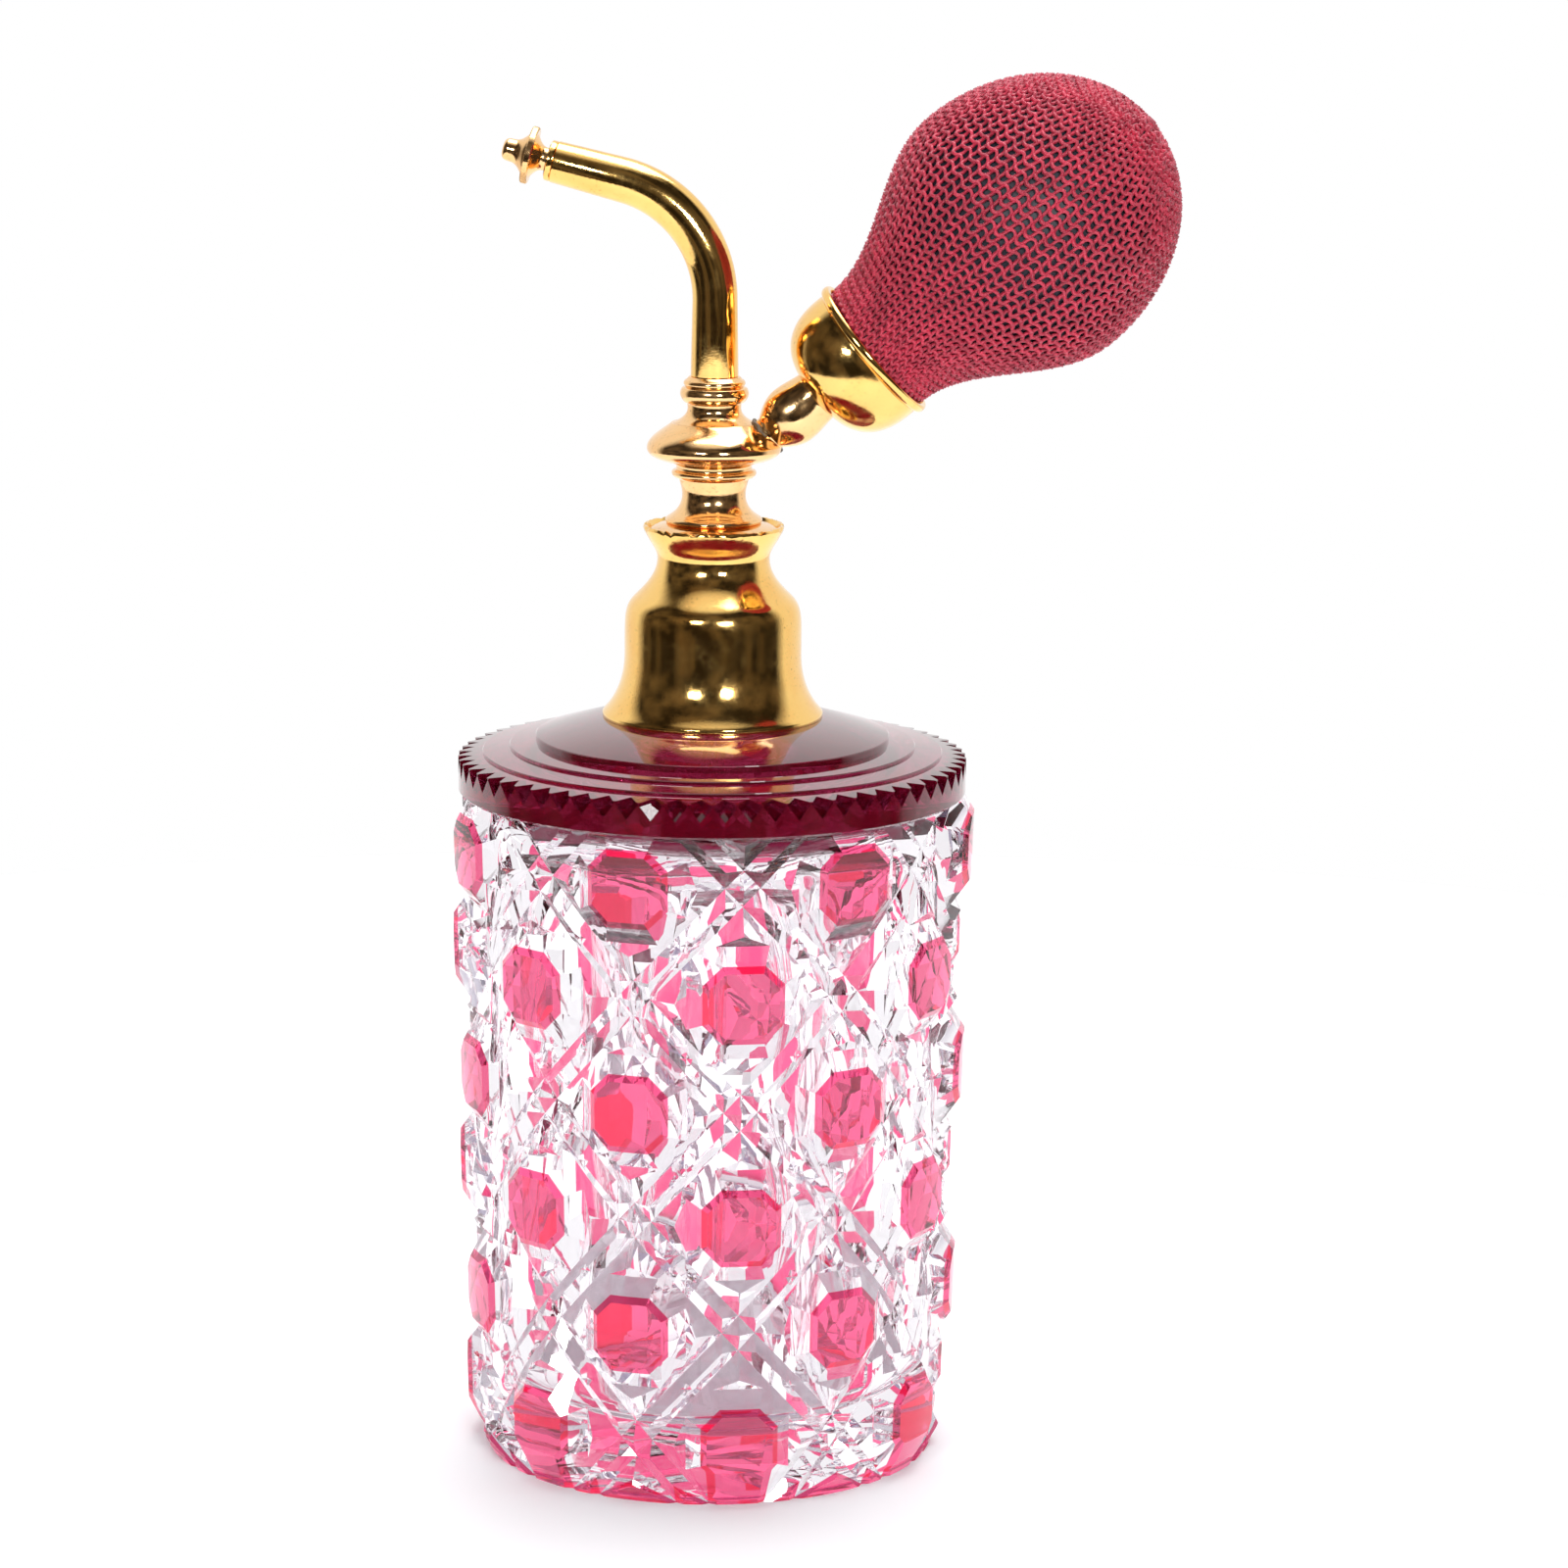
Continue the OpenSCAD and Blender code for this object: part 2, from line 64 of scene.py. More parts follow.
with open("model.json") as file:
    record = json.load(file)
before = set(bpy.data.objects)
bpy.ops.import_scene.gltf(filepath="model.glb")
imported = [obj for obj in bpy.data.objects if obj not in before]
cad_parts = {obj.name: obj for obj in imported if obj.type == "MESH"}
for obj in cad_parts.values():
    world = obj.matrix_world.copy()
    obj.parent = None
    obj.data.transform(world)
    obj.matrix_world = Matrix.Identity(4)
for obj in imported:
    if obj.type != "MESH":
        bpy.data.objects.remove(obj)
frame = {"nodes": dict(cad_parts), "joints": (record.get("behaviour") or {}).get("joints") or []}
cad_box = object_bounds()

# Everything below is shaped in millimetres and made metres when a piece is finished.
MM = 0.001
TURN = 2 * math.pi


def low(node):
    """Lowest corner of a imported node, in millimetres."""
    return Vector(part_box(node)[0]) / MM


def high(node):
    """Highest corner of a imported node, in millimetres."""
    return Vector(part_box(node)[1]) / MM


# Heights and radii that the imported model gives.
SEAT_Z = low("ruby_shoulder").z
SHOULDER_R = high("ruby_shoulder").x
BELL_Z = low("bell_collar").z
BELL_R = high("bell_collar").x
LIP_Z = high("bell_collar").z
NECK_TOP = high("bottle").z
FLANGE_Z = low("baluster").z
KNOP_FOOT = low("knop").z
KNOP_TOP = high("knop").z
KNOP_R = high("knop").y
SOCKET_TOP = high("spout_socket").z
NET_R = high("net_cover").y


def packed_joint(name):
    """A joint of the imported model."""
    return next(joint for joint in frame["joints"] if joint["name"] == name)


def joint_axis(name):
    """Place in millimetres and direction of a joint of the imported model."""
    joint = packed_joint(name)
    place = Vector(joint.get("pos_m", (0, 0, 0))) / MM
    return place, Vector(joint["axis"]).normalized()


def placed_along(origin, direction):
    """Matrix that moves a piece turned on +Z to a place, along a direction."""
    return Matrix.Translation(origin) @ direction.to_track_quat("Z", "Y").to_matrix().to_4x4()


SPOUT_END, SPOUT_DIR = joint_axis("nozzle_turn")
BULB_DIR = -joint_axis("bulb_squeeze")[1]
# The arm, the cup and the bulb share an axis, which leaves the bottle's axis at this height.
ARM_Z = 128.2
ON_ARM = placed_along((0, 0, ARM_Z), BULB_DIR)
ON_SPOUT = placed_along(SPOUT_END, SPOUT_DIR)
# Distances along the arm's axis to the back of the cup and to its rim.
CUP_S = 17.2
RIM_S = 27.15
# Radius of the glass neck inside the collar.
NECK_R = 9.5


# ---------------------------------------------------------------- settings

class CrystalSettings(bpy.types.PropertyGroup):
    casing: FloatProperty(
        name="Casing", description="Thickness of the ruby casing",
        default=0.6 * MM, min=0.3 * MM, max=1.0 * MM, unit="LENGTH", precision=5)
    mitre_depth: FloatProperty(
        name="Mitre depth", description="Depth of the upright and level mitre cuts",
        default=2.16 * MM, min=1.0 * MM, max=3.0 * MM, unit="LENGTH", precision=5)
    cross_depth: FloatProperty(
        name="Cross depth", description="Depth of the paired slanting cuts",
        default=2.9 * MM, min=1.0 * MM, max=2.95 * MM, unit="LENGTH", precision=5)
    ior: FloatProperty(
        name="Index", description="Refractive index of the lead crystal",
        default=1.54, min=1.45, max=1.7)
    clear_tint: FloatVectorProperty(
        name="Clear tint", description="Colour that the clear glass gives to light",
        default=(0.985, 0.975, 0.99), size=3, subtype="COLOR", min=0, max=1)
    ruby_tint: FloatVectorProperty(
        name="Ruby tint", description="Colour that the thin ruby casing gives to light",
        default=(0.86, 0.012, 0.072), size=3, subtype="COLOR", min=0, max=1)
    shoulder_tint: FloatVectorProperty(
        name="Shoulder tint", description="Colour of the thick ruby glass",
        default=(0.14, 0.001, 0.011), size=3, subtype="COLOR", min=0, max=1)


class MetalSettings(bpy.types.PropertyGroup):
    gold: FloatVectorProperty(
        name="Gold", description="Colour of the bright gilt brass",
        default=(0.95, 0.60, 0.19), size=3, subtype="COLOR", min=0, max=1)
    rose: FloatVectorProperty(
        name="Rose gold", description="Colour of the rosier gilt of the turned head",
        default=(0.95, 0.60, 0.28), size=3, subtype="COLOR", min=0, max=1)
    polish: FloatProperty(
        name="Polish", description="Roughness of the polished gilt",
        default=0.085, min=0.0, max=0.5, subtype="FACTOR")


class NetSettings(bpy.types.PropertyGroup):
    wales: IntProperty(
        name="Wales", description="Number of stitches round the bulb",
        default=46, min=20, max=80)
    course_pitch: FloatProperty(
        name="Course pitch", description="Distance between courses of knitting",
        default=1.32 * MM, min=0.8 * MM, max=3 * MM, unit="LENGTH", precision=5)
    yarn: FloatProperty(
        name="Yarn", description="Thickness of the yarn",
        default=0.56 * MM, min=0.2 * MM, max=1 * MM, unit="LENGTH", precision=5)
    crimson: FloatVectorProperty(
        name="Crimson", description="Colour of the yarn",
        default=(0.36, 0.022, 0.048), size=3, subtype="COLOR", min=0, max=1)


class StageSettings(bpy.types.PropertyGroup):
    lens: FloatProperty(
        name="Lens", description="Focal length of the camera, in millimetres",
        default=125.8, min=20, max=300, unit="CAMERA")
    floor_size: FloatProperty(
        name="Floor", description="Width of the round floor",
        default=0.74, min=0.5, max=10, unit="LENGTH")
    sky: FloatProperty(
        name="Sky", description="Brightness of the white surroundings",
        default=1.0, min=0, max=5)


# ---------------------------------------------------------------- mesh helpers

def curve(start, handle_a, handle_b, end, steps=14):
    """Points of a smooth curve from start to end, with two handles."""
    corners = (start, handle_a, handle_b, end)
    points = []
    for i in range(steps + 1):
        t = i / steps
        u = 1 - t
        weights = (u ** 3, 3 * u * u * t, 3 * u * t * t, t ** 3)
        points.append(tuple(sum(w * p[k] for w, p in zip(weights, corners))
                            for k in range(2)))
    return points


def only(geometry, kind):
    """The vertices, edges or faces in a list of geometry."""
    return [part for part in geometry if isinstance(part, kind)]


def everything(bm):
    """All the geometry of a bmesh."""
    return [*bm.verts, *bm.edges, *bm.faces]


def lathe(outline, steps=144, closed=True):
    """Spins an outline of (radius, height) round +Z into a solid."""
    bm = bmesh.new()
    clean = [p for i, p in enumerate(outline)
             if i == 0 or math.dist(p, outline[i - 1]) > 1e-4]
    verts = [bm.verts.new((r, 0, z)) for r, z in clean]
    ends = verts[1:] + verts[:1] if closed else verts[1:]
    edges = [bm.edges.new(pair) for pair in zip(verts, ends)]
    bmesh.ops.spin(bm, geom=verts + edges, cent=(0, 0, 0), axis=(0, 0, 1), dvec=(0, 0, 0),
                   angle=TURN, steps=steps, use_merge=True, use_duplicate=False)
    weld(bm)
    return bm


def weld(bm, reach=2e-4):
    """Merges doubles and turns every face outwards."""
    bmesh.ops.remove_doubles(bm, verts=bm.verts, dist=reach)
    bmesh.ops.recalc_face_normals(bm, faces=bm.faces)


def soften(bm, width, angle=40, segments=2):
    """Bevels the edges that are sharper than an angle."""
    sharp = [e for e in bm.edges
             if len(e.link_faces) == 2 and e.calc_face_angle(0) > math.radians(angle)]
    bmesh.ops.bevel(bm, geom=sharp, affect="EDGES", offset=width, segments=segments,
                    profile=0.5, material=-1, clamp_overlap=True)


def shade(bm, angle=30, edges=None):
    """Smooth faces, with a crease wherever two faces meet at more than an angle."""
    for face in bm.faces:
        face.smooth = True
    for edge in bm.edges if edges is None else edges:
        edge.smooth = not (len(edge.link_faces) == 2
                           and edge.calc_face_angle(0) > math.radians(angle))


def mesh_from(bm, name):
    """Makes a bmesh a mesh, and frees the bmesh."""
    mesh = bpy.data.meshes.new(name)
    bm.to_mesh(mesh)
    bm.free()
    return mesh


def add_object(name, data):
    """Puts a mesh, a set of curves, a lamp or a camera in the scene."""
    added = bpy.data.objects.new(name, data)
    bpy.context.scene.collection.objects.link(added)
    return added


def finish_piece(bm, name, materials, body, replaced=(), place=None):
    """Makes a bmesh in millimetres an object in metres that rides on a body."""
    if place is not None:
        bmesh.ops.transform(bm, matrix=place, verts=bm.verts)
    bmesh.ops.scale(bm, vec=(MM, MM, MM), verts=bm.verts)
    mesh = mesh_from(bm, name)
    for material in materials:
        mesh.materials.append(material)
    piece = add_object(name, mesh)
    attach(piece, body)
    if replaced:
        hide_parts(*replaced)
    return piece


# ---------------------------------------------------------------- materials

def new_material(name, **values):
    """A material with a Principled shader whose sockets have the given values."""
    material = bpy.data.materials.new(name)
    material.use_nodes = True
    shader = material.node_tree.nodes["Principled BSDF"]
    for socket, value in values.items():
        shader.inputs[socket.replace("_", " ")].default_value = value
    return material, material.node_tree, shader


def object_noise(tree, scale, detail=2.0, roughness=0.5, stretch=(1, 1, 1)):
    """Noise on object coordinates; scale is in turns per millimetre."""
    where = tree.nodes.new("ShaderNodeTexCoord")
    mapping = tree.nodes.new("ShaderNodeMapping")
    mapping.inputs["Scale"].default_value = [s * scale / MM for s in stretch]
    texture = tree.nodes.new("ShaderNodeTexNoise")
    texture.inputs["Scale"].default_value = 1.0
    texture.inputs["Detail"].default_value = detail
    texture.inputs["Roughness"].default_value = roughness
    tree.links.new(where.outputs["Object"], mapping.inputs["Vector"])
    tree.links.new(mapping.outputs["Vector"], texture.inputs["Vector"])
    return texture.outputs["Fac"]


def ramp(tree, value, low_in, high_in, low_out, high_out):
    """Maps a range of values to another, clamped."""
    node = tree.nodes.new("ShaderNodeMapRange")
    for socket, number in (("From Min", low_in), ("From Max", high_in),
                           ("To Min", low_out), ("To Max", high_out)):
        node.inputs[socket].default_value = number
    tree.links.new(value, node.inputs["Value"])
    return node.outputs["Result"]


# Where a Mix node keeps its two colours and their mixture.
COLOUR_A, COLOUR_B, COLOUR_OUT = 6, 7, 2


def mix_colour(tree, factor, first, second):
    """Mixes two colours by a factor; either may be a socket."""
    node = tree.nodes.new("ShaderNodeMix")
    node.data_type = "RGBA"
    tree.links.new(factor, node.inputs["Factor"])
    for index, colour in ((COLOUR_A, first), (COLOUR_B, second)):
        socket = node.inputs[index]
        if isinstance(colour, bpy.types.NodeSocket):
            tree.links.new(colour, socket)
        else:
            socket.default_value = (*colour[:3], 1)
    return node.outputs[COLOUR_OUT]


def multiply(tree, first, second):
    """Product of two values."""
    node = tree.nodes.new("ShaderNodeMath")
    node.operation = "MULTIPLY"
    tree.links.new(first, node.inputs[0])
    tree.links.new(second, node.inputs[1])
    return node.outputs[0]


def bump(tree, shader, height, distance, strength=1.0):
    """Adds a bump to a shader; distance is in millimetres."""
    node = tree.nodes.new("ShaderNodeBump")
    node.inputs["Strength"].default_value = strength
    node.inputs["Distance"].default_value = distance * MM
    tree.links.new(height, node.inputs["Height"])
    tree.links.new(node.outputs["Normal"], shader.inputs["Normal"])


def cut_glass(name, tint, ior, wave=0.002, clearness=1.0, coat=0.0):
    """Polished cut glass with a faint hand-polished waviness."""
    material, tree, shader = new_material(
        name, Base_Color=(*tint, 1), Roughness=0.0, IOR=ior, Transmission_Weight=clearness,
        Coat_Weight=coat, Coat_Roughness=0.02)
    bump(tree, shader, object_noise(tree, 0.22, detail=0.0), wave, 0.5)
    smear = object_noise(tree, 0.12, detail=4.0, roughness=0.7)
    tree.links.new(ramp(tree, smear, 0.55, 0.8, 0.0, 0.02), shader.inputs["Roughness"])
    return material


def joined_glass():
    """The face where two glasses are fused, which light crosses unbent."""
    material = bpy.data.materials.new("fused_joint")
    material.use_nodes = True
    tree = material.node_tree
    tree.nodes.remove(tree.nodes["Principled BSDF"])
    clear = tree.nodes.new("ShaderNodeBsdfTransparent")
    tree.links.new(clear.outputs["BSDF"], tree.nodes["Material Output"].inputs["Surface"])
    return material


# What a thin layer of gilding and a speck of tarnish make of the gilt's colour.
THIN_GILDING = (0.97, 0.86, 0.74)
TARNISH = 0.42


def gilt(name, colour, polish, worn=0.0):
    """Gilded brass: fine pits in the polish, patches of thin gilding and dull wear."""
    material, tree, shader = new_material(
        name, Base_Color=(*colour, 1), Metallic=1.0, Roughness=polish)
    patches = object_noise(tree, 0.16, detail=5.0, roughness=0.62)
    thin = [c * f for c, f in zip(colour, THIN_GILDING)]
    tint = mix_colour(tree, ramp(tree, patches, 0.45, 0.75, 0.0, 1.0), colour, thin)
    specks = object_noise(tree, 2.6, detail=2.0, roughness=0.6)
    spotted = multiply(tree, ramp(tree, specks, 0.62 - worn, 0.72 - worn, 0.0, 0.75),
                       ramp(tree, patches, 0.45, 0.62, 0.15, 1.0))
    tint = mix_colour(tree, spotted, tint, [c * TARNISH for c in colour])
    tree.links.new(tint, shader.inputs["Base Color"])
    cloud = object_noise(tree, 0.35, detail=6.0, roughness=0.7)
    tree.links.new(ramp(tree, cloud, 0.35, 0.75, polish * 0.6, polish * 2.4),
                   shader.inputs["Roughness"])
    grain = multiply(tree, object_noise(tree, 3.4, detail=3.0, roughness=0.6),
                     ramp(tree, cloud, 0.42, 0.60, 0.35, 1.0))
    bump(tree, shader, grain, 0.016, 0.6)
    return material


def solder_grey():
    """Dull dark solder that is left round the joint of the arm."""
    material, tree, shader = new_material(
        "solder", Base_Color=(0.16, 0.13, 0.10, 1), Metallic=0.8, Roughness=0.5)
    bump(tree, shader, object_noise(tree, 2.2, detail=4.0), 0.05)
    return material


def bulb_rubber():
    """Old dark rubber with a bluish bloom."""
    material, tree, shader = new_material(
        "bulb_rubber", Base_Color=(0.012, 0.013, 0.02, 1), Roughness=0.5)
    bloom = object_noise(tree, 0.4, detail=5.0, roughness=0.65)
    tint = mix_colour(tree, bloom, (0.006, 0.006, 0.01), (0.03, 0.034, 0.055))
    tree.links.new(tint, shader.inputs["Base Color"])
    bump(tree, shader, object_noise(tree, 1.5, detail=3.0), 0.03)
    return material


def net_yarn(crimson):
    """Shiny twisted crimson yarn."""
    material, tree, shader = new_material(
        "net_yarn", Base_Color=(*crimson, 1), Roughness=0.38, Sheen_Weight=0.25,
        Sheen_Roughness=0.35, Sheen_Tint=(1.0, 0.55, 0.65, 1))
    shade_noise = object_noise(tree, 0.5, detail=4.0)
    lit = [min(1, c * 1.9) for c in crimson]
    tint = mix_colour(tree, ramp(tree, shade_noise, 0.3, 0.7, 0.0, 1.0), crimson, lit)
    tree.links.new(tint, shader.inputs["Base Color"])
    bump(tree, shader, object_noise(tree, 5.0, detail=2.0, stretch=(1, 1, 2.2)), 0.05)
    return material


def plain_finish(name, colour, roughness, metallic=0.0, grain=0.02):
    """A finish for inner fittings, with a fine grain and a mottled colour."""
    material, tree, shader = new_material(
        name, Base_Color=(*colour, 1), Metallic=metallic, Roughness=roughness)
    mottle = object_noise(tree, 0.8, detail=4.0)
    darker = [c * 0.8 for c in colour]
    lighter = [min(1, c * 1.15) for c in colour]
    tint = mix_colour(tree, mottle, darker, lighter)
    tree.links.new(tint, shader.inputs["Base Color"])
    bump(tree, shader, object_noise(tree, 2.5, detail=3.0), grain)
    return material


MATERIALS = {}


def finish(name, maker, *args):
    """Makes a finish once and hands out the same one afterwards."""
    if name not in MATERIALS:
        MATERIALS[name] = maker(*args)
    return MATERIALS[name]


def gold(scene):
    """Bright gilt of the collar, the spout and the cup."""
    metal = scene.atomiser_metal
    return finish("gold", gilt, "gilt_brass", metal.gold, metal.polish)


def rose(scene):
    """Rosier and more worn gilt of the turned head, the arm and the nozzle."""
    metal = scene.atomiser_metal
    return finish("rose", gilt, "rose_gilt", metal.rose, metal.polish * 1.15, 0.02)


# ---------------------------------------------------------------- cut crystal

# The cutting is drawn flat, as the wall unrolled at UNROLL_R, and then wrapped round.
# One tile of it holds one button in the middle and a quarter of one in each corner.
UNROLL_R = 34.0
COLUMNS = 7
TILE_ROWS = 4
HALF_W = UNROLL_R * math.pi / COLUMNS
HALF_H = 14.556
# Height of the lowest row of buttons, and direction of its first button.
FIRST_ROW_Z = 8.27
FIRST_BUTTON = math.radians(282.5)
# Radius that the wall would have at the base, and its growth with height.
WALL_R0 = 31.69
WALL_TAPER = 0.0285
# The bevel round the bottom of the wall.
FOOT_H = 5.0
FOOT_SLOPE = 0.474
# Fall of a cut's flank, and half the distance between two paired slanting cuts.
MITRE_SLOPE = 0.7
CROSS_GAP = 1.68
# Flat strips that a column of tiles is bent into.
BANDS = 16
# Points this close are one point: within a tile, and between tiles.
SNAP = 0.012
JOIN = 2.5 * SNAP
# How far from a level a point may lie and still be on it.
LEVEL = 0.02
# Steps in which a crease is followed, and what counts as on the surface.
CREASE_STEP = 0.25
CREASE_STEPS = 100
ON_SURFACE = 1e-5


def mitre_cuts(cut):
    """Every mitre cut that crosses a tile, as (normal, offset, depth)."""
    depth = cut.mitre_depth / MM
    cuts = []
    for side in (-1, 1):
        cuts.append((Vector((1, 0, 0)), side * HALF_W / 2, depth))
        cuts.append((Vector((0, 1, 0)), side * HALF_H / 2, depth))
        for lean in (-1, 1):
            normal = Vector((lean / HALF_W, 1 / HALF_H, 0))
            far = side / normal.length
            for gap in (-CROSS_GAP, CROSS_GAP):
                cuts.append((normal.normalized(), far + gap, cut.cross_depth / MM))
    return cuts


def cut_depth(cuts, point):
    """Depth of the deepest cut at a point of the flat wall."""
    return max(depth - MITRE_SLOPE * abs(normal.dot(point) - offset)
               for normal, offset, depth in cuts)


def facet_at(cuts, point, level):
    """Which flank of which cut the surface follows at a point, or -1 on the level."""
    best, facet = level, -1
    for i, (normal, offset, depth) in enumerate(cuts):
        across = normal.dot(point) - offset
        if depth - MITRE_SLOPE * abs(across) > best:
            best, facet = depth - MITRE_SLOPE * abs(across), 2 * i + (across > 0)
    return facet


def blank_drop(z):
    """How far the bottom bevel takes the blank in, below its slanting wall."""
    return FOOT_SLOPE * max(0.0, FOOT_H - z)


def drop_at(point, row):
    """How far the bottom bevel takes the blank in at a point of a row's tile."""
    return blank_drop(point.y + FIRST_ROW_Z) if row == 0 else 0.0


def flank_planes(cuts):
    """Both flanks of every cut, as depth = a x + b y + c."""
    planes = []
    for normal, offset, depth in cuts:
        for side in (-1, 1):
            planes.append((-side * MITRE_SLOPE * normal.x, -side * MITRE_SLOPE * normal.y,
                           depth + side * MITRE_SLOPE * offset))
    return planes


def crease_lines(cuts, pairs):
    """Lines of a tile where the two planes of a pair meet on the cut surface."""
    lines = {}
    for f, g in pairs:
        across = Vector((f[0] - g[0], f[1] - g[1], 0))
        if across.length < ON_SURFACE:
            continue
        offset = (g[2] - f[2]) / across.length
        across.normalize()
        if (across.x, across.y) < (0, 0):
            across, offset = -across, -offset
        along = Vector((-across.y, across.x, 0))
        for i in range(-CREASE_STEPS, CREASE_STEPS + 1):
            point = across * offset + along * i * CREASE_STEP
            if abs(point.x) > HALF_W or abs(point.y) > HALF_H:
                continue
            depth = cut_depth(cuts, point)
            meets = all(abs(p[0] * point.x + p[1] * point.y + p[2] - depth) < ON_SURFACE
                        for p in (f, g))
            if meets and depth > -ON_SURFACE:
                lines[tuple(round(v, 4) for v in (*across.xy, offset))] = (across, offset)
                break
    return list(lines.values())


def slice_flat(bm, lines, below=None):
    """Cuts a flat sheet along lines, or only the part of it that is below a height."""
    for across, offset in lines:
        faces = [f for f in bm.faces
                 if below is None or f.calc_center_median().y < below]
        edges = {e for f in faces for e in f.edges}
        verts = {v for f in faces for v in f.verts}
        bmesh.ops.bisect_plane(bm, geom=[*verts, *edges, *faces], dist=SNAP / 2,
                               plane_co=across * offset, plane_no=across)


def flat_tile(cut, foot):
    """One tile of the wall, cut along every crease and still flat."""
    casing = cut.casing / MM
    cuts = mitre_cuts(cut)
    bm = bmesh.new()
    bmesh.ops.create_grid(bm, x_segments=1, y_segments=1, size=1)
    bmesh.ops.scale(bm, vec=(HALF_W, HALF_H, 1), verts=bm.verts)
    flanks = flank_planes(cuts)
    levels = [(0, 0, 0), (0, 0, casing)]
    slice_flat(bm, crease_lines(cuts, combinations(flanks + levels, 2)))
    if foot:
        bevel_y = FOOT_H - FIRST_ROW_Z
        slice_flat(bm, [(Vector((0, 1, 0)), bevel_y)])
        drop = FOOT_SLOPE * bevel_y
        levels = [(0, -FOOT_SLOPE, drop), (0, -FOOT_SLOPE, drop + casing)]
        slice_flat(bm, crease_lines(cuts, product(flanks, levels)), below=bevel_y)
    bmesh.ops.remove_doubles(bm, verts=bm.verts, dist=SNAP)
    return bm


def tile_rows(cut, shape_tile):
    """Stacks shaped tiles up the wall and trims them to its height."""
    stack = bmesh.new()
    for row in range(TILE_ROWS):
        tile = flat_tile(cut, foot=(row == 0))
        shape_tile(tile, row)
        bmesh.ops.translate(tile, vec=(0, FIRST_ROW_Z + 2 * HALF_H * row, 0),
                            verts=tile.verts)
        mesh = mesh_from(tile, "tile")
        stack.from_mesh(mesh)
        bpy.data.meshes.remove(mesh)
    bmesh.ops.remove_doubles(stack, verts=stack.verts, dist=JOIN)
    for height, direction in ((0, -1), (SEAT_Z, 1)):
        bmesh.ops.bisect_plane(stack, geom=everything(stack), dist=SNAP,
                               plane_co=(0, height, 0), plane_no=(0, direction, 0),
                               clear_outer=True)
    return stack


# Two sides that meet at more than this angle are one side.
STRAIGHT = math.radians(178)


def join_facets(bm, facet_of):
    """Joins the faces of each facet into one, and takes out the points left on its sides."""
    facets = {f: facet_of(f) for f in bm.faces}
    inside = [e for e in bm.edges if len(e.link_faces) == 2
              and facets[e.link_faces[0]] == facets[e.link_faces[1]]]
    bmesh.ops.dissolve_edges(bm, edges=inside, use_verts=False, use_face_split=False)
    spare = []
    for vert in bm.verts:
        if len(vert.link_edges) == 2 and not vert.is_boundary:
            a, b = (e.other_vert(vert).co - vert.co for e in vert.link_edges)
            if a.xy.angle(b.xy, 0) > STRAIGHT:
                spare.append(vert)
    bmesh.ops.dissolve_verts(bm, verts=spare)


def wrap(stack):
    """Bands the flat sheet, repeats it round the bottle and wraps it on the wall."""
    for i in range(1, BANDS):
        bmesh.ops.bisect_plane(stack, geom=everything(stack), dist=SNAP,
                               plane_co=(HALF_W * (2 * i / BANDS - 1), 0, 0),
                               plane_no=(1, 0, 0))
    first = everything(stack)
    for column in range(1, COLUMNS):
        copy = bmesh.ops.duplicate(stack, geom=first)["geom"]
        bmesh.ops.translate(stack, vec=(2 * HALF_W * column, 0, 0),
                            verts=only(copy, BMVert))
    for vert in stack.verts:
        x, z, depth = vert.co.x, vert.co.y, vert.co.z
        angle = FIRST_BUTTON + x / UNROLL_R
        radius = WALL_R0 + WALL_TAPER * z + depth
        vert.co = (radius * math.cos(angle), radius * math.sin(angle), z)
    bmesh.ops.remove_doubles(stack, verts=stack.verts, dist=JOIN)


def clear_wall(cut):
    """The cut outside of the clear glass; faces under the casing take material 1."""
    casing = cut.casing / MM
    cuts = mitre_cuts(cut)

    def facet_of(face, row):
        centre = face.calc_center_median()
        facet = facet_at(cuts, centre, drop_at(centre, row) + casing)
        face.material_index = 1 if facet < 0 else 0
        return facet, facet < 0 and drop_at(centre, row) > 0

    def carve(tile, row):
        join_facets(tile, lambda face: facet_of(face, row))
        for vert in tile.verts:
            vert.co.z = -max(cut_depth(cuts, vert.co), drop_at(vert.co, row) + casing)

    stack = tile_rows(cut, carve)
    wrap(stack)
    shade(stack, angle=6)
    return stack


def ring_loop(bm, height):
    """Open edges of a mesh at a height."""
    return [e for e in bm.edges if e.is_boundary
            and all(abs(v.co.z - height) < LEVEL for v in e.verts)]


def extend_loop(bm, loop, stations, joined=()):
    """Extrudes a round loop through (radius, height) stations; returns the last loop.

    Rings of faces whose numbers are in joined take material 1, the fused joint.
    """
    for index, (radius, height) in enumerate(stations):
        grown = bmesh.ops.extrude_edge_only(bm, edges=loop)["geom"]
        loop = only(grown, BMEdge)
        for vert in only(grown, BMVert):
            angle = math.atan2(vert.co.y, vert.co.x)
            vert.co = (radius * math.cos(angle), radius * math.sin(angle), height)
        for face in only(grown, BMFace):
            face.material_index = 1 if index in joined else 0
            face.smooth = True
    return loop


def close_loop(bm, loop, height):
    """Closes a round loop with a fan on the axis."""
    verts = only(bmesh.ops.extrude_edge_only(bm, edges=loop)["geom"], BMVert)
    for vert in verts:
        vert.co = (0, 0, height)
    bmesh.ops.remove_doubles(bm, verts=verts, dist=1e-3)


# Points of the wall's upper edge, in order round it, which the shoulder is fused to.
seat_outline = []


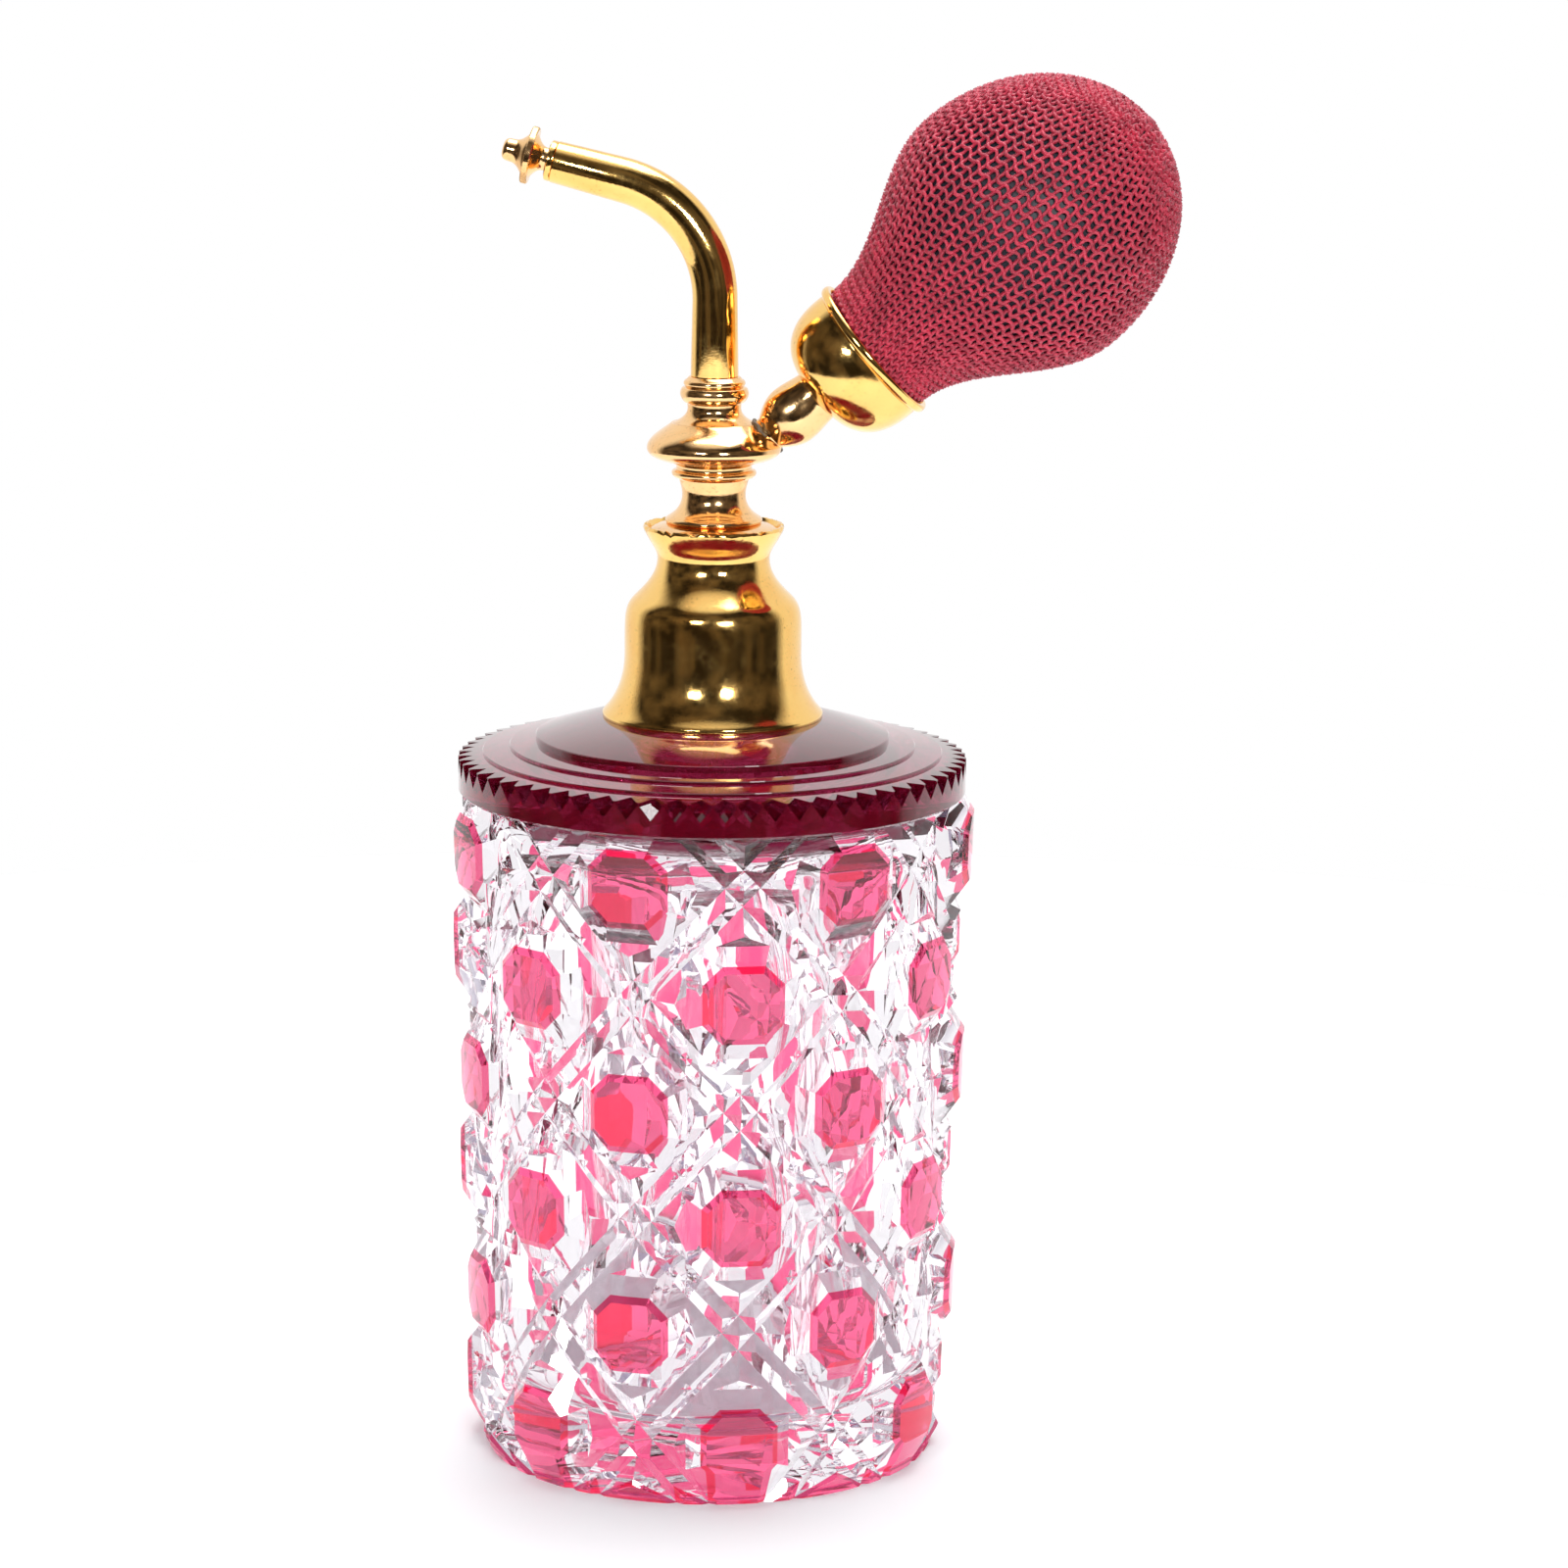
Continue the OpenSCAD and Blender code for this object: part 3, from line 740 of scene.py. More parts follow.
def build_crystal(scene):
    """Clear glass: cut wall, neck, chamber and hollowed base in one closed solid."""
    cut = scene.atomiser_crystal
    bm = clear_wall(cut)
    wall_edges = set(bm.edges)
    seat = {v for e in ring_loop(bm, SEAT_Z) for v in e.verts}
    seat_outline[:] = sorted((tuple(v.co) for v in seat),
                             key=lambda point: math.atan2(point[1], point[0]))
    bore_r, chamber_r, chamber_floor = 6.5, 25.0, 8.0
    ceiling, chamber_shoulder = (18.5, 85), 79
    stations = [(NECK_R, SEAT_Z), (NECK_R, BELL_Z), (NECK_R, NECK_TOP - 0.6),
                (NECK_R - 0.6, NECK_TOP), (bore_r + 0.5, NECK_TOP), (bore_r, NECK_TOP - 0.5)]
    stations += curve((bore_r, 92), (bore_r, 86.5), (12, 86), ceiling, 10)
    stations += curve(ceiling, (23.5, 84.2), (chamber_r, 83), (chamber_r, chamber_shoulder), 12)
    stations += curve((chamber_r, chamber_floor + 4), (chamber_r, chamber_floor + 1),
                      (chamber_r - 1, chamber_floor), (chamber_r - 4, chamber_floor), 12)
    inner = extend_loop(bm, ring_loop(bm, SEAT_Z), stations, joined=(0, 1))
    close_loop(bm, inner, chamber_floor)
    foot_r, hollow_r, hollow = 26.5, 25.5, 1.1
    base = extend_loop(bm, ring_loop(bm, 0), [(foot_r, 0.0), (hollow_r, 0.3)])
    close_loop(bm, base, hollow)
    bmesh.ops.recalc_face_normals(bm, faces=bm.faces)
    shade(bm, 32, edges=[e for e in bm.edges if e not in wall_edges])
    for edge in wall_edges:
        if all(abs(v.co.z - SEAT_Z) <= LEVEL or v.co.z <= LEVEL for v in edge.verts):
            edge.smooth = False
    clear = finish("clear", cut_glass, "clear_crystal", cut.clear_tint, cut.ior)
    finish_piece(bm, "crystal_body", [clear, finish("joint", joined_glass)], "bottle_body",
                 ["bottle"])


def build_casing(scene):
    """Ruby casing that the cutting left standing: buttons and the band round the foot."""
    cut = scene.atomiser_crystal
    casing = cut.casing / MM
    cuts = mitre_cuts(cut)

    def facet_of(face, row):
        """The facet that a face of the casing's top or underside belongs to."""
        centre = face.calc_center_median()
        drop = drop_at(centre, row)
        facet = -1 if face.material_index else facet_at(cuts, centre, drop)
        return face.material_index, facet, facet < 0 and drop > 0

    def chip(tile, row):
        """Leaves the casing of a tile where no cut goes through it, with its underside."""
        centres = {f: f.calc_center_median() for f in tile.faces}
        gone = [f for f, c in centres.items()
                if cut_depth(cuts, c) > drop_at(c, row) + casing]
        bmesh.ops.delete(tile, geom=gone, context="FACES")
        below = tile.verts.layers.int.new("below")
        under = bmesh.ops.duplicate(tile, geom=everything(tile))["geom"]
        for vert in only(under, BMVert):
            vert[below] = 1
        for face in only(under, BMFace):
            face.material_index = 1
        join_facets(tile, lambda face: facet_of(face, row))
        for vert in tile.verts:
            drop = drop_at(vert.co, row)
            underside = -drop - casing
            surface = -max(cut_depth(cuts, vert.co), drop)
            vert.co.z = underside if vert[below] else max(surface, underside)

    bm = tile_rows(cut, chip)
    wrap(bm)
    rim = bmesh.ops.triangle_fill(bm, edges=ring_loop(bm, 0), use_beauty=True)["geom"]
    for face in only(rim, BMFace):
        face.material_index = 0
    bmesh.ops.recalc_face_normals(bm, faces=bm.faces)
    shade(bm, 6)
    ruby = finish("ruby", cut_glass, "ruby_glass", cut.ruby_tint, cut.ior)
    finish_piece(bm, "ruby_casing", [ruby, finish("joint", joined_glass)], "bottle_body",
                 ["ruby_buttons", "ruby_foot"])


# Notches of the shoulder's edge, each cut by a square bar that leans outwards.
NOTCHES = 66
NOTCH_W = 2.2
NOTCH_LENGTH = 8
NOTCH_LEAN = math.radians(50)
NOTCH_OUT, NOTCH_UP = 1, 0.6
SHOULDER_TOP = 92.1


def notch_cutter():
    """Ring of leaning square bars that cut the notches of the shoulder's edge."""
    bm = bmesh.new()
    lean = (Matrix.Rotation(NOTCH_LEAN, 4, "Y")
            @ Matrix.Rotation(math.radians(45), 4, "Z"))
    bar = Matrix.Diagonal((NOTCH_W, NOTCH_W, NOTCH_LENGTH, 1))
    place = Matrix.Translation((SHOULDER_R + NOTCH_OUT, 0, SHOULDER_TOP + NOTCH_UP))
    for i in range(NOTCHES):
        turn = Matrix.Rotation(TURN * i / NOTCHES, 4, "Z")
        bmesh.ops.create_cube(bm, size=1, matrix=turn @ place @ lean @ bar)
    return add_object("notch_cutter", mesh_from(bm, "notch_cutter"))


def subtract(bm, cutter):
    """Cuts an object out of a bmesh, and removes the object."""
    mesh = bpy.data.meshes.new("blank")
    bm.to_mesh(mesh)
    blank = add_object("blank", mesh)
    tool = blank.modifiers.new("cut", "BOOLEAN")
    tool.operation = "DIFFERENCE"
    tool.solver = "EXACT"
    tool.object = cutter
    cut_mesh = bpy.data.meshes.new_from_object(
        blank.evaluated_get(bpy.context.evaluated_depsgraph_get()))
    bm.clear()
    bm.from_mesh(cut_mesh)
    for piece in (blank, cutter):
        old = piece.data
        bpy.data.objects.remove(piece)
        bpy.data.meshes.remove(old)
    bpy.data.meshes.remove(cut_mesh)


def build_shoulder(scene):
    """Ruby glass shoulder: a low cone with three steps and a notched edge."""
    if not seat_outline:
        raise RuntimeError("The shoulder is fused to the crystal, which is built first")
    cut = scene.atomiser_crystal
    bm = bmesh.new()
    verts = [bm.verts.new(point) for point in seat_outline]
    loop = [bm.edges.new(pair) for pair in zip(verts, verts[1:] + verts[:1])]
    stations = [(NECK_R, SEAT_Z), (NECK_R, BELL_Z), (BELL_R + 0.4, BELL_Z)]
    steps = [(22.8, 95), (26.2, 93.7), (29.7, 92.9), (SHOULDER_R, SHOULDER_TOP)]
    # Each riser stands a little outside its edge, and each ledge falls outwards.
    edge, fall = 0.12, 0.42
    stations.append(steps[0])
    for (inner_r, top), (outer_r, ledge) in zip(steps, steps[1:]):
        stations += [(inner_r + edge, top - edge), (inner_r + edge, ledge + fall),
                     (outer_r, ledge)]
    foot = 0.3
    stations += [(SHOULDER_R, SEAT_Z + foot), (SHOULDER_R - foot, SEAT_Z)]
    last = extend_loop(bm, loop, stations, joined=(0, 1))
    bmesh.ops.bridge_loops(bm, edges=last + loop)
    weld(bm)
    subtract(bm, notch_cutter())
    shade(bm, 20)
    wave, clearness, coat = 0.004, 0.42, 0.6
    deep = finish("deep_ruby", cut_glass, "ruby_shoulder_glass", cut.shoulder_tint, cut.ior,
                  wave, clearness, coat)
    finish_piece(bm, "ruby_shoulder_ring", [deep, finish("joint", joined_glass)],
                 "bottle_body", ["ruby_shoulder"])


# ---------------------------------------------------------------- gilt brass

def build_collar(scene):
    """Bell-shaped collar with its flared and worn lip."""
    waist, throat, lip_r, wall = 11.45, 7.25, 9.1, 0.65
    z = BELL_Z
    outline = [(BELL_R, z), (BELL_R, z + 0.6)]
    outline += curve((BELL_R - 0.35, z + 1), (12.4, z + 2.7), (waist, z + 5.2), (waist, z + 8.2))
    outline += curve((waist, z + 11.3), (waist, z + 14.2), (11, z + 14.9), (9.95, z + 15.9))
    outline += curve((9.95, z + 15.9), (8.3, z + 17.5), (throat, z + 18.9), (throat, z + 20.7))
    outline += curve((throat, z + 20.7), (throat, z + 21.7), (8.05, z + 22.5),
                     (lip_r - 0.5, z + 23.6))
    outline += [(lip_r, LIP_Z - 0.4), (lip_r - 0.1, LIP_Z), (lip_r - 0.45, LIP_Z),
                (8.5, LIP_Z - 0.7), (7.05, LIP_Z - 3), (throat - wall, LIP_Z - 3.7),
                (throat - wall, LIP_Z - 5.7)]
    outline += curve((throat - wall, z + 19.1), (7.7, z + 17.3), (8.6, z + 16.5),
                     (9.3, z + 15.7))
    outline += curve((9.3, z + 15.7), (10.4, z + 14.6), (waist - wall, z + 13.9),
                     (waist - wall, z + 11.3))
    outline += curve((waist - wall, z + 8.2), (waist - wall, z + 5.1), (11.8, z + 2.6),
                     (BELL_R - 1, z + 0.8))
    outline += [(BELL_R - wall, z)]
    bm = lathe(outline)
    soften(bm, 0.08)
    worn_band, sunk, drawn_in = 0.6, 0.9, 0.035
    for vert in bm.verts:
        if vert.co.z > LIP_Z - worn_band and vert.co.xy.length > lip_r - worn_band:
            nick = (max(0, noise.noise(vert.co * 0.9) - 0.12)
                    + 0.1 * noise.noise(vert.co * 2.3))
            vert.co.z -= sunk * nick
            vert.co.xy *= 1 - drawn_in * nick
    shade(bm, 28)
    finish_piece(bm, "bell_collar_shell", [gold(scene)], "bottle_body",
                 ["bell_collar"])


def build_head(scene):
    """Turned head: the plug's domed flange, the baluster, the knop and the socket."""
    liquid_r, air_r, z = 0.8, 1.9, FLANGE_Z
    crest_r, root_r, threads = 5, 4.65, 5
    plug = [(liquid_r, z - 9.4), (4.6, z - 9.4)]
    for thread in range(threads):
        foot = z - 9 + thread
        plug += [(crest_r, foot), (crest_r, foot + 0.3), (root_r, foot + 0.5),
                 (root_r, foot + 0.7)]
    plug += [(crest_r, z - 3.1), (crest_r, z - 2.7), (6.7, z - 2.7), (8.15, z - 1.2),
             (8.2, z - 0.8)]
    plug += curve((8.2, z - 0.8), (7.6, z - 0.35), (6.8, z - 0.3), (6, z), 8)
    plug += [(liquid_r, z)]
    baluster = [(liquid_r, z), (6, z)]
    baluster += curve((6.1, z + 0.05), (6.4, z + 0.2), (6.35, z + 0.6), (5.7, z + 0.9), 8)
    baluster += curve((5.6, z + 1), (4.9, z + 1.4), (4.1, z + 2.3), (4.1, z + 3.6))
    baluster += curve((4.1, z + 3.6), (4.1, z + 4.6), (4.4, z + 5), (4.5, z + 5.7))
    baluster += [(5.1, z + 5.9)]
    baluster += curve((5.2, z + 6), (5.55, z + 6.2), (5.55, z + 6.7), (5.2, z + 6.8), 8)
    baluster += curve((4.9, z + 6.9), (4.8, z + 7.2), (4.9, z + 7.6), (5.3, KNOP_FOOT), 8)
    baluster += [(liquid_r, KNOP_FOOT)]
    wide_z = KNOP_FOOT + 1.85
    knop = [(liquid_r, KNOP_FOOT)]
    knop += curve((5.3, KNOP_FOOT), (7, KNOP_FOOT + 0.3), (KNOP_R, KNOP_FOOT + 0.8),
                  (KNOP_R, wide_z))
    knop += curve((KNOP_R, wide_z), (KNOP_R, wide_z + 1.35), (6.6, wide_z + 2.35),
                  (5.5, KNOP_TOP))
    knop += [(2.6, KNOP_TOP), (2.6, KNOP_FOOT + 0.8), (liquid_r, KNOP_FOOT + 0.8)]
    t = KNOP_TOP
    socket = [(air_r, t), (5.3, t)]
    socket += curve((5.3, t), (4.2, t + 0.5), (3.5, t + 1), (3.45, t + 1.9))
    socket += [(3.5, t + 2.5), (3.9, t + 2.7)]
    socket += curve((4, t + 2.8), (4.5, t + 3.4), (4.55, t + 3.9), (4.2, t + 4.5), 8)
    socket += curve((3.7, t + 4.7), (4.1, t + 4.9), (4.1, t + 5.4), (3.6, t + 5.6), 8)
    socket += [(3.3, SOCKET_TOP), (air_r, SOCKET_TOP)]
    for name, node, outline in (("plug_flange", "screw_plug", plug),
                                ("waisted_baluster", "baluster", baluster),
                                ("ring_knop", "knop", knop),
                                ("beaded_socket", "spout_socket", socket)):
        bm = lathe(outline)
        soften(bm, 0.06)
        shade(bm, 28)
        finish_piece(bm, name, [rose(scene)], "head_body", [node])


def build_spout(scene):
    """Bent and slightly tapered spout tube."""
    foot_r, bend_tube_r, end_r, wall = 3.08, 2.9, 2.68, 0.8
    bend_r, bend_z, end_l = 15.5, 151.3, 9.15
    bend = math.radians(76)
    bm = bmesh.new()
    bmesh.ops.create_circle(bm, cap_ends=False, segments=64, radius=foot_r,
                            matrix=Matrix.Translation((0, 0, SOCKET_TOP)))

    def grow(loop, shift, factor, centre):
        """Extrudes a loop along a shift and scales its end; returns the end."""
        new = bmesh.ops.extrude_edge_only(bm, edges=loop)["geom"]
        verts = only(new, BMVert)
        bmesh.ops.translate(bm, vec=shift, verts=verts)
        bmesh.ops.scale(bm, vec=(factor, factor, factor), verts=verts,
                        space=Matrix.Translation(-(centre + Vector(shift))))
        return only(new, BMEdge)

    loop = grow(list(bm.edges), (0, 0, bend_z - SOCKET_TOP), bend_tube_r / foot_r,
                Vector((0, 0, SOCKET_TOP)))
    verts = list({v for e in loop for v in e.verts})
    swept = bmesh.ops.spin(bm, geom=verts + loop, cent=(-bend_r, 0, bend_z), axis=(0, -1, 0),
                           dvec=(0, 0, 0), angle=bend, steps=40, use_merge=False,
                           use_duplicate=False)["geom_last"]
    bend_end = SPOUT_END - SPOUT_DIR * end_l
    grow(only(swept, BMEdge), SPOUT_DIR * end_l, end_r / bend_tube_r, bend_end)
    weld(bm)
    bmesh.ops.solidify(bm, geom=bm.faces, thickness=wall)
    soften(bm, 0.1, angle=60)
    shade(bm, 28)
    finish_piece(bm, "bent_spout", [gold(scene)], "head_body", ["spout_tube"])


def build_nozzle(scene):
    """End ring of the spout, and the knurled nozzle with its rounded jet."""
    bore_r, ring_r, ring_h = 1.3, 2.62, 0.85
    ring = lathe([(bore_r, -3), (1.9, -3), (1.9, 0), (ring_r, 0), (ring_r, ring_h),
                  (bore_r, ring_h)], 96)
    soften(ring, 0.2, segments=3)
    shade(ring, 28)
    finish_piece(ring, "spout_end_ring", [gold(scene)], "head_body",
                 ["nozzle_seat"], ON_SPOUT)
    teeth, tooth, disc_r, jet_r = 48, 0.22, 3.7, 0.35
    outline = [(jet_r, -2.6), (1.25, -2.6), (1.25, 0.95), (1.5, 0.95)]
    outline += curve((1.5, 1.3), (1.5, 2), (2.4, 2.5), (2.9, 2.8))
    outline += [(disc_r - 0.15, 2.8), (disc_r, 2.95), (disc_r, 3.55), (disc_r - 0.15, 3.7)]
    outline += curve((2.7, 3.7), (2.4, 4.2), (1.65, 4.5), (1.5, 5.3))
    outline += curve((1.45, 6), (1.45, 6.5), (1.1, 6.8), (0.7, 6.8), 8)
    outline += [(jet_r, 6.8)]
    bm = lathe(outline, 2 * teeth)
    for vert in bm.verts:
        radius = vert.co.xy.length
        index = round(math.atan2(vert.co.y, vert.co.x) / TURN * 2 * teeth)
        if radius > disc_r - 0.2 and index % 2:
            vert.co.xy *= (radius - tooth) / radius
    shade(bm, 28)
    finish_piece(bm, "knurled_nozzle", [rose(scene)], "nozzle_body",
                 ["nozzle_tip"], ON_SPOUT)


def build_arm(scene):
    """Side arm with its swelling, and the dark solder where it joins the knop."""
    air_r, root_r, swelling_r = 1.5, 2.4, 3.95
    outline = [(air_r, 6.3), (root_r, 6.3), (root_r, 9.5)]
    outline += curve((root_r, 9.5), (2.9, 10.2), (swelling_r, 11.6), (swelling_r, 13.2))
    outline += curve((swelling_r, 13.2), (swelling_r, 14.8), (3.6, 15.6), (3.5, CUP_S))
    outline += [(air_r, CUP_S)]
    bm = lathe(outline)
    soften(bm, 0.06)
    shade(bm, 28)
    finish_piece(bm, "swelling_arm", [rose(scene)], "head_body", ["side_arm"],
                 ON_ARM)
    ring_r, ring_s, thick, sides = 2.35, 8.8, 0.42, 12
    fillet = lathe([(ring_r + thick * math.cos(a), ring_s + 0.8 * thick * math.sin(a))
                    for a in (TURN * i / sides for i in range(sides))], 72)
    for vert in fillet.verts:
        lump = noise.noise(vert.co * 0.8) + 0.4 * noise.noise(vert.co * 2.1)
        vert.co.xy *= 1 + 0.07 * lump
        vert.co.z += 0.35 * lump
    shade(fillet, 60)
    finish_piece(fillet, "solder_fillet", [finish("solder", solder_grey)], "head_body",
                 [], ON_ARM)


def build_cup(scene):
    """Round cup with a rolled rim that holds the neck of the bulb."""
    air_r, cup_r, rim_r = 1.5, 9.4, 10.1
    outline = [(air_r, CUP_S), (3.5, CUP_S)]
    outline += curve((3.6, CUP_S), (7.4, 17.7), (9.35, 20.4), (cup_r, 24.4), 20)
    outline += [(cup_r, 25.5), (9.3, 25.8)]
    outline += curve((9.7, 26), (rim_r, 26.1), (rim_r + 0.1, 26.9), (rim_r - 0.3, RIM_S), 10)
    outline += [(9.25, RIM_S), (9.2, 26.5), (8.75, 25.4)]
    outline += curve((8.75, 24.4), (8.7, 20.9), (6.9, 18.6), (3.6, 17.9), 20)
    outline += [(air_r, 17.9)]
    bm = lathe(outline)
    soften(bm, 0.05)
    shade(bm, 28)
    finish_piece(bm, "bulb_cup_shell", [gold(scene)], "head_body",
                 ["bulb_cup"], ON_ARM)


# ---------------------------------------------------------------- rubber bulb and net

# Radius of the net at the cup's rim, distance from there to its widest ring, and from
# that ring to its tail.
NET_NECK_R = 9.1
NET_WIDE_S = 23.5
NET_TAIL_L = 21.7
# Depth of the rubber under the net's outside, and of the yarn's middle line.
RUBBER_UNDER = 0.9
NET_MIDDLE = 0.42
# How far the courses drift up on one side and down on the other.
NET_SLANT = 0.8
# Radii below which a course has half and a quarter of the stitches.
HALVED_R = 6.2
QUARTERED_R = 3
# Points in a stitch, its height over the pitch of the courses, how much its loop
# widens, and how far it waves in and out.
STITCH_STEPS = 12
STITCH_RISE = 0.72
STITCH_LOOP = 0.085
STITCH_SWELL = 0.24


def net_radius(s):
    """Radius of the net's outside at a distance beyond the cup's rim."""
    if s < NET_WIDE_S:
        return NET_NECK_R + (NET_R - NET_NECK_R) * (1 - math.cos(math.pi * s / NET_WIDE_S)) / 2
    return NET_R * math.sqrt(max(0.0, 1 - ((s - NET_WIDE_S) / NET_TAIL_L) ** 2))


def squeeze(piece):
    """Gives a soft piece a mesh of its own."""
    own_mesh(piece)


def build_bulb(scene):
    """Dark rubber bulb that shows through the net."""
    wide_s = RIM_S + NET_WIDE_S
    neck_steps, tail_steps = 30, 36
    outline = [(3.35, 20.2), (6.2, 20.2), (6.2, 24.6)]
    outline += [(net_radius(NET_WIDE_S * i / neck_steps) - RUBBER_UNDER,
                 RIM_S + NET_WIDE_S * i / neck_steps) for i in range(neck_steps)]
    outline += [((NET_R - RUBBER_UNDER) * math.cos(a),
                 wide_s + (NET_TAIL_L - RUBBER_UNDER) * math.sin(a))
                for a in (math.pi / 2 * i / tail_steps for i in range(tail_steps))]
    outline += [(0, wide_s + NET_TAIL_L - RUBBER_UNDER)]
    bm = lathe(outline, 96, closed=False)
    bmesh.ops.holes_fill(bm, edges=[e for e in bm.edges if e.is_boundary])
    shade(bm, 40)
    rubber = finish("rubber", bulb_rubber)
    piece = finish_piece(bm, "rubber_squeeze_bulb", [rubber], "head_body",
                         ["rubber_bulb"], ON_ARM)
    squeeze(piece)


def net_line(steps=60):
    """Middle line of the net as (radius, distance) points, from the cup to the tail."""
    inset = NET_MIDDLE
    line = [(7.0 - inset, 21.6), (7.0 - inset, 24.2), (7.9 - inset, 25.8)]
    for i in range(steps + 1):
        s = NET_WIDE_S * i / steps
        line.append((net_radius(s) - inset, RIM_S + s))
    for i in range(1, steps + 1):
        a = math.pi / 2 * i / steps
        line.append(((NET_R - inset) * math.cos(a),
                     RIM_S + NET_WIDE_S + (NET_TAIL_L - inset) * math.sin(a)))
    return line


def net_station(line, length):
    """Point of the net's line, and its outward normal, at a length along it."""
    for (r0, s0), (r1, s1) in zip(line, line[1:]):
        step = math.dist((r0, s0), (r1, s1))
        if length <= step:
            share = length / step
            normal = Vector((s1 - s0, r0 - r1)) / step
            return Vector((r0 + (r1 - r0) * share, s0 + (s1 - s0) * share)), normal
        length -= step
    return None, None


def stitch_point(turn, rise):
    """Place of the yarn within one loop: round, along and out of the fabric."""
    t = TURN * turn
    return (turn + STITCH_LOOP * math.sin(2 * t), -rise * math.cos(t),
            STITCH_SWELL * math.cos(2 * t))


def add_yarn_ring(curves, places):
    """Adds a closed ring of yarn through places."""
    spline = curves.splines.new("POLY")
    spline.points.add(len(places) - 1)
    for point, place in zip(spline.points, places):
        point.co = (*place, 1)
    spline.use_cyclic_u = True


def knit_course(curves, line, length, wales, rise, chance):
    """Adds one closed course of loops round the bulb."""
    places = []
    drift = [chance.uniform(0.92, 1.08) for wale in range(wales)]
    for wale in range(wales):
        for step in range(STITCH_STEPS):
            turn = step / STITCH_STEPS
            ease = drift[wale] * (1 - turn) + drift[(wale + 1) % wales] * turn
            around, along, out = stitch_point(turn, rise * ease)
            angle = TURN * (wale + around) / wales
            slant = NET_SLANT * math.sin(angle + 1.2) * min(1, length / 12)
            here, normal = net_station(line, length + along + slant)
            if here is None:
                return
            here = here + normal * out
            places.append((here.x * math.cos(angle), here.x * math.sin(angle), here.y))
    add_yarn_ring(curves, places)


def yarn_piece(name, curves, material):
    """Makes a set of yarn curves one mesh piece of its own that rides on the head."""
    thread = add_object(name, curves)
    mesh = bpy.data.meshes.new_from_object(
        thread.evaluated_get(bpy.context.evaluated_depsgraph_get()))
    bpy.data.objects.remove(thread)
    bpy.data.curves.remove(curves)
    bm = bmesh.new()
    bm.from_mesh(mesh)
    bpy.data.meshes.remove(mesh)
    for face in bm.faces:
        face.smooth = True
        face.material_index = 0
    piece = finish_piece(bm, name, [material], "head_body", ["net_cover"],
                         ON_ARM)
    squeeze(piece)


def new_yarn(name, thickness):
    """Empty set of yarn curves of a thickness."""
    curves = bpy.data.curves.new(name, "CURVE")
    curves.dimensions = "3D"
    curves.bevel_depth = thickness / 2
    curves.bevel_resolution = 0
    return curves


def build_net(scene):
    """Crimson net, knitted round and gathered at its tail."""
    net = scene.atomiser_net
    chance = random.Random(7)
    line = net_line()
    whole = sum(math.dist(a, b) for a, b in zip(line, line[1:]))
    first_course, last_gap = 1.0, 1.2
    yarn = finish("yarn", net_yarn, tuple(net.crimson))
    pitch = net.course_pitch / MM
    curves = new_yarn("knitted_net", net.yarn / MM)
    length = first_course
    while length < whole - last_gap:
        radius = net_station(line, length)[0].x
        share = 1 if radius > HALVED_R else 2 if radius > QUARTERED_R else 4
        rise = min(STITCH_RISE * pitch, whole - length - 0.3)
        knit_course(curves, line, length, net.wales // share, rise, chance)
        length += pitch
    yarn_piece("knitted_net", curves, yarn)
    gathering = new_yarn("net_gathering", net.yarn / MM)
    tail_s = RIM_S + NET_WIDE_S + NET_TAIL_L - NET_MIDDLE
    points, ripple = 16, 0.12
    for radius, out in ((1.7, -0.1), (1.15, 0.1), (0.6, 0.2), (0.15, 0.3)):
        angles = [TURN * i / points for i in range(points)]
        add_yarn_ring(gathering, [(radius * math.cos(a), radius * math.sin(a),
                                   tail_s + out + ripple * math.sin(3 * a)) for a in angles])
    yarn_piece("net_gathering", gathering, yarn)


# ---------------------------------------------------------------- inner fittings

def build_fittings(scene):
    """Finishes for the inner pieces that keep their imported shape."""
    metal = scene.atomiser_metal
    steel = finish("steel", plain_finish, "valve_steel", (0.56, 0.57, 0.58), 0.25, 1.0)
    plaster = finish("plaster", plain_finish, "fitters_plaster", (0.62, 0.57, 0.48), 0.9,
                     0.0, 0.15)
    gasket = finish("gasket", plain_finish, "dark_gasket", (0.02, 0.018, 0.018), 0.7,
                    0.0, 0.04)
    thread = finish("thread", plain_finish, "binding_thread", (0.09, 0.012, 0.02), 0.7,
                    0.0, 0.08)
    tube = finish("tube", cut_glass, "tube_glass", (0.98, 0.98, 0.98), 1.49)
    inner_gold = finish("inner_gold", gilt, "inner_brass", metal.gold, 0.22)
    for nodes, material in ((("neck_cement",), plaster),
                            (("neck_gasket", "flange_washer", "nozzle_packing"), gasket),
                            (("thread_bush", "tube_ferrule", "liquid_tube", "hose_nipple",
                              "outlet_seat"), inner_gold),
                            (("outlet_ball", "intake_valve", "intake_ball"), steel),
                            (("neck_binding",), thread),
                            (("dip_tube",), tube)):
        for node in nodes:
            slots = frame["nodes"][node].data.materials
            slots.clear()
            slots.append(material)


# ---------------------------------------------------------------- stage

# Colours of the dark room that the gilt mirrors in front, and of the paler front that
# is seen through the glass.
ROOM_DARK, ROOM_WARM = (0.022, 0.018, 0.014), (0.16, 0.13, 0.10)
GLASS_LIGHT, GLASS_FRONT = (0.99, 0.975, 1), (0.36, 0.31, 0.44)
WHITE = (1, 1, 1)


